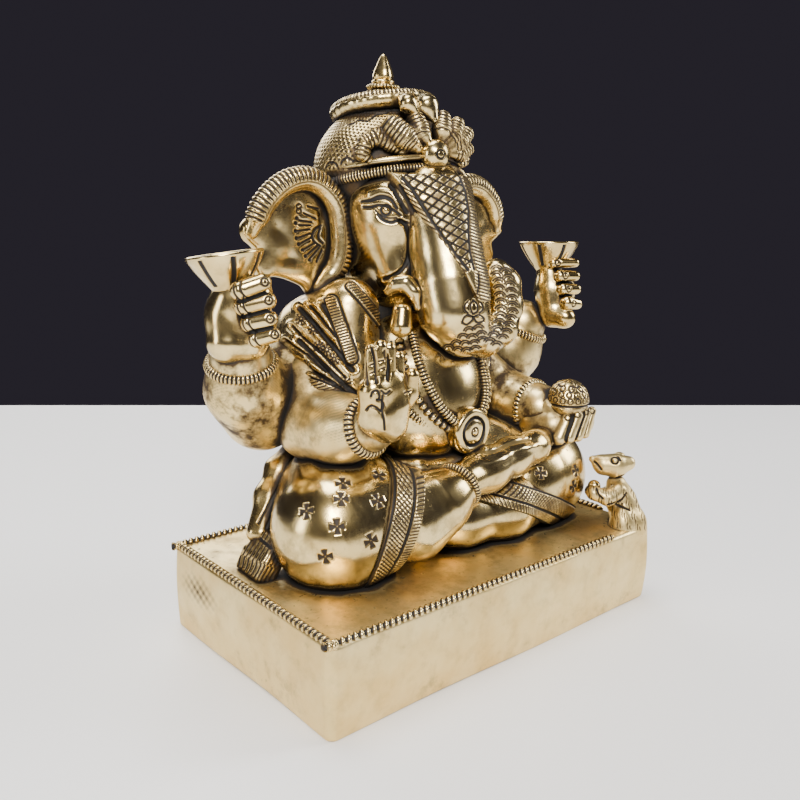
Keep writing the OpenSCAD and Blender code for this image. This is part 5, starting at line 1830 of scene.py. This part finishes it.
def brass(name, rough, dull, hollow_patina_and_shade=1.0, tarnish_and_shade=0.3, brushed=0.25, pits=0.3):
    material = bpy.data.materials.new(name)
    material.use_nodes = True
    tree = material.node_tree
    tree.nodes.clear()
    link = tree.links.new

    def node(kind, **settings):
        made = tree.nodes.new("ShaderNode" + kind)
        for key, value in settings.items():
            setattr(made, key, value)
        return made

    def math(operation, a, b, clamp=False):
        made = node("Math", operation=operation, use_clamp=clamp)
        for socket, value in zip(made.inputs, (a, b)):
            if isinstance(value, (int, float)):
                socket.default_value = value
            else:
                link(value, socket)
        return made.outputs[0]

    def noise(scale, detail=3.0, stretch=None, rough_noise=0.55):
        made = node("TexNoise")
        made.inputs["Scale"].default_value = scale
        made.inputs["Detail"].default_value = detail
        made.inputs["Roughness"].default_value = rough_noise
        source = coords.outputs["Object"]
        if stretch:
            mapping = node("Mapping")
            mapping.inputs["Scale"].default_value = stretch
            mapping.inputs["Rotation"].default_value = (0.4, 0.3, 0.7)
            link(source, mapping.inputs["Vector"])
            source = mapping.outputs["Vector"]
        link(source, made.inputs["Vector"])
        return made.outputs["Fac"]

    def remap(value, low, high, to_low=0.0, to_high=1.0):
        made = node("MapRange", clamp=True)
        link(value, made.inputs["Value"])
        for key, number in (("From Min", low), ("From Max", high), ("To Min", to_low),
                            ("To Max", to_high)):
            made.inputs[key].default_value = number
        return made.outputs["Result"]

    def mix(amount, a, b):
        made = node("Mix", data_type="RGBA")
        link(amount, made.inputs["Factor"])
        for socket, value in ((made.inputs["A"], a), (made.inputs["B"], b)):
            if isinstance(value, tuple):
                socket.default_value = (*value, 1)
            else:
                link(value, socket)
        return made.outputs["Result"]

    coords = node("TexCoord")
    groove = node("Attribute", attribute_name="groove").outputs["Fac"]
    # how enclosed each point is: it sets where patina and painted shade darken the corners
    corner = node("Attribute", attribute_name="corner").outputs["Fac"]
    drift = noise(60, 4)
    grain = noise(700, 4)
    blotch = noise(190, 5, rough_noise=0.65)
    scratches = noise(900, 3, (1.0, 0.06, 0.25))
    strokes = noise(1500, 2, (0.05, 1.0, 0.6))
    colour = mix(remap(drift, 0.35, 0.65), GOLD, PALE_GOLD)
    colour = mix(math("MULTIPLY", remap(blotch, 0.48, 0.72), dull), colour, DEEP_GOLD)
    # the dark film: the wash in the cuts, patina and painted shade in tight corners, and a little tarnish
    # drifted onto open metal, thicker towards corners as painted shade
    corner_patina_and_shade = remap(math("ADD", corner, math("MULTIPLY", math("SUBTRACT", blotch, 0.5), 0.35)), 0.40,
                      0.66)
    # tarnish blots on open metal, weighted towards enclosed places, so partly painted shade
    tarnish_and_corner_shade = math("MULTIPLY", remap(math("ADD", math("MULTIPLY", corner, 0.9),
                                          math("MULTIPLY", blotch, 0.6)), 0.48, 0.76),
                   tarnish_and_shade)
    speck = math("MULTIPLY", remap(grain, 0.60, 0.70), remap(corner, 0.22, 0.40))
    dark_film_and_shade = math("MAXIMUM", math("MAXIMUM", groove, math("MULTIPLY", corner_patina_and_shade, hollow_patina_and_shade)),
                math("MAXIMUM", tarnish_and_corner_shade,
                math("MULTIPLY", speck, 0.8)), clamp=True)
    # the film turns the brass brown, then black: the wash in the cuts, patina and painted shade in corners,
    # and tarnish
    colour = mix(remap(dark_film_and_shade, 0.05, 0.45), colour, WASH_AND_SHADE_BROWN)
    colour = mix(remap(dark_film_and_shade, 0.4, 0.8), colour, WASH_AND_SHADE_BLACK)
    shader = node("BsdfPrincipled")
    link(colour, shader.inputs["Base Color"])
    link(remap(dark_film_and_shade, 0.15, 0.75, 1.0, 0.25), shader.inputs["Metallic"])
    worn = math("ADD", math("MULTIPLY", blotch, 0.12), math("MULTIPLY", scratches, brushed * 0.35))
    base_rough = math("ADD", worn, rough - 0.06)
    film_rough = math("MULTIPLY", remap(dark_film_and_shade, 0.1, 0.8), 0.42)
    link(math("ADD", base_rough, film_rough, clamp=True), shader.inputs["Roughness"])
    relief = math("ADD", math("MULTIPLY", scratches, brushed), math("MULTIPLY", strokes, brushed * 0.6))
    pit = node("TexVoronoi")
    pit.inputs["Scale"].default_value = 330
    link(coords.outputs["Object"], pit.inputs["Vector"])
    pit_depth = math("MULTIPLY", remap(pit.outputs["Distance"], 0.05, 0.22),
                     math("MULTIPLY", remap(drift, 0.5, 0.6), pits))
    relief = math("ADD", relief, pit_depth)
    relief = math("ADD", relief, math("MULTIPLY", noise(130, 2), 0.9))
    bump = node("Bump")
    bump.inputs["Strength"].default_value = 0.32
    bump.inputs["Distance"].default_value = 0.00016
    link(relief, bump.inputs["Height"])
    link(bump.outputs["Normal"], shader.inputs["Normal"])
    output = node("OutputMaterial")
    link(shader.outputs["BSDF"], output.inputs["Surface"])
    return material


# per metal: how strongly patina and painted shade darken the corners, and how much tarnish, thicker towards
# corners, lies on open metal
metals = {
    "polished": brass("polished_brass", 0.17, 0.5, hollow_patina_and_shade=1.0, tarnish_and_shade=0.25, brushed=0.25, pits=0.6),
    "satin": brass("satin_brass", 0.25, 0.75, hollow_patina_and_shade=1.05, tarnish_and_shade=0.5, brushed=0.6, pits=0.7),
    "engraved": brass("engraved_brass", 0.21, 0.45, hollow_patina_and_shade=1.1, tarnish_and_shade=0.7, brushed=0.25, pits=0.3),
    "aged": brass("aged_brass", 0.26, 0.85, hollow_patina_and_shade=1.15, tarnish_and_shade=1.0, brushed=0.5, pits=0.9),
    "filed": brass("filed_brass", 0.33, 0.3, hollow_patina_and_shade=0.9, tarnish_and_shade=0.25, brushed=0.5, pits=0.9),
}
print("metals: " + ", ".join(metals))

# %% Meshes
def make_mesh(name, p, normals, faces, dark):
    mesh = bpy.data.meshes.new(name)
    triangles = faces[:, 3] == faces[:, 2]
    flat = [faces[~triangles], faces[triangles][:, :3]]
    loops = np.concatenate([part.reshape(-1) for part in flat]).astype(np.int32)
    sizes = np.concatenate([np.full(len(flat[0]), 4), np.full(len(flat[1]), 3)]).astype(np.int32)
    starts = np.concatenate([[0], np.cumsum(sizes)[:-1]]).astype(np.int32)
    mesh.vertices.add(len(p))
    mesh.vertices.foreach_set("co", (p * MM).astype(np.float32).ravel())
    mesh.loops.add(len(loops))
    mesh.loops.foreach_set("vertex_index", loops)
    mesh.polygons.add(len(sizes))
    mesh.polygons.foreach_set("loop_start", starts)
    mesh.polygons.foreach_set("use_smooth", np.ones(len(sizes), bool))
    mesh.update(calc_edges=True)
    mesh.validate()
    # groove keeps the dark of the cuts, and on the plinth a patch of painted shade; corner keeps how
    # enclosed each point is, which the brass turns into patina and painted shade
    for label, values in (("groove", dark), ("corner", enclosed(p, normals))):
        layer = mesh.attributes.new(label, "FLOAT", "POINT")
        layer.data.foreach_set("value", values.astype(np.float32))
    made = bpy.data.objects.new(name, mesh)
    bpy.context.scene.collection.objects.link(made)
    return made


for name, p, normals, faces, dark in castings:
    made = make_mesh("cast_" + name, p, normals, faces, dark)
    made.data.materials.append(metals[figure[name].metal])
    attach(made, "root")
    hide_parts(name)
missing = sorted(set(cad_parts) - set(figure))
print("pieces: %d, nodes with no piece: %s" % (len(castings), missing or "none"))

# %% [markdown]
# ## Floor and light
#
# A pale floor throws light up into the undersides of the brass. Metal shows what surrounds it,
# so the light comes from large soft panels against a dark room: a strong one high on the left
# front, weaker ones on the right, overhead and behind, and a faint one low on the left.

# %% Floor, world and lamps
floor_mesh = bpy.data.meshes.new("floor")
HEADING = np.array([0.573, 0.820])
SIDEWAYS = np.array([0.820, -0.573])
FLOOR_NEAR, FLOOR_FAR, FLOOR_HALF = -0.60, 0.247, 0.75
floor_corners = [HEADING * ahead + SIDEWAYS * aside
                 for ahead, aside in ((FLOOR_NEAR, -FLOOR_HALF), (FLOOR_NEAR, FLOOR_HALF),
                                      (FLOOR_FAR, FLOOR_HALF), (FLOOR_FAR, -FLOOR_HALF))]
floor_mesh.from_pydata([(x, y, 0) for x, y in floor_corners], [], [(0, 1, 2, 3)])
floor = bpy.data.objects.new("floor", floor_mesh)
bpy.context.scene.collection.objects.link(floor)
floor_paint = bpy.data.materials.new("floor_paint")
floor_paint.use_nodes = True
floor_shader = floor_paint.node_tree.nodes["Principled BSDF"]
floor_shader.inputs["Base Color"].default_value = (0.90, 0.885, 0.875, 1)
floor_shader.inputs["Roughness"].default_value = 0.55
floor_mesh.materials.append(floor_paint)
floor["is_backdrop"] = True

world = bpy.data.worlds.new("room")
bpy.context.scene.world = world
world.use_nodes = True
backdrop = world.node_tree.nodes["Background"]
backdrop.inputs["Color"].default_value = (0.046, 0.040, 0.056, 1)
backdrop.inputs["Strength"].default_value = 0.5
LAMP_TARGET = (0, 0, 0.07)


def soft_panel(name, spot, size, power, colour=(1, 1, 1)):
    lamp = bpy.data.lights.new(name, "AREA")
    lamp.shape = "RECTANGLE"
    lamp.size, lamp.size_y = size
    lamp.energy = power
    lamp.color = colour
    made = bpy.data.objects.new(name, lamp)
    made.location = spot
    aim = Vector(LAMP_TARGET) - Vector(spot)
    made.rotation_euler = aim.to_track_quat("-Z", "Y").to_euler()
    bpy.context.scene.collection.objects.link(made)


soft_panel("key_panel", (-0.40, -0.46, 0.56), (0.26, 0.26), 9.0, (1, 0.97, 0.92))
soft_panel("right_panel", (0.62, -0.30, 0.40), (0.25, 0.40), 4.2, (0.97, 0.98, 1))
soft_panel("top_panel", (-0.05, 0.12, 0.75), (0.34, 0.34), 4.4)
soft_panel("back_panel", (0.15, 0.70, 0.40), (0.60, 0.40), 4.0)
soft_panel("left_panel", (-0.70, 0.12, 0.20), (0.16, 0.30), 1.1)
print("lamps set")

# %% The finished box
size = {"cad_box": cad_box, "visual_box": [list(corner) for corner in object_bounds()]}
grown = [round((v - c) / MM, 2) for v, c in zip(np.ravel(size["visual_box"]), np.ravel(cad_box))]
print("visual box less CAD box, mm:", grown)
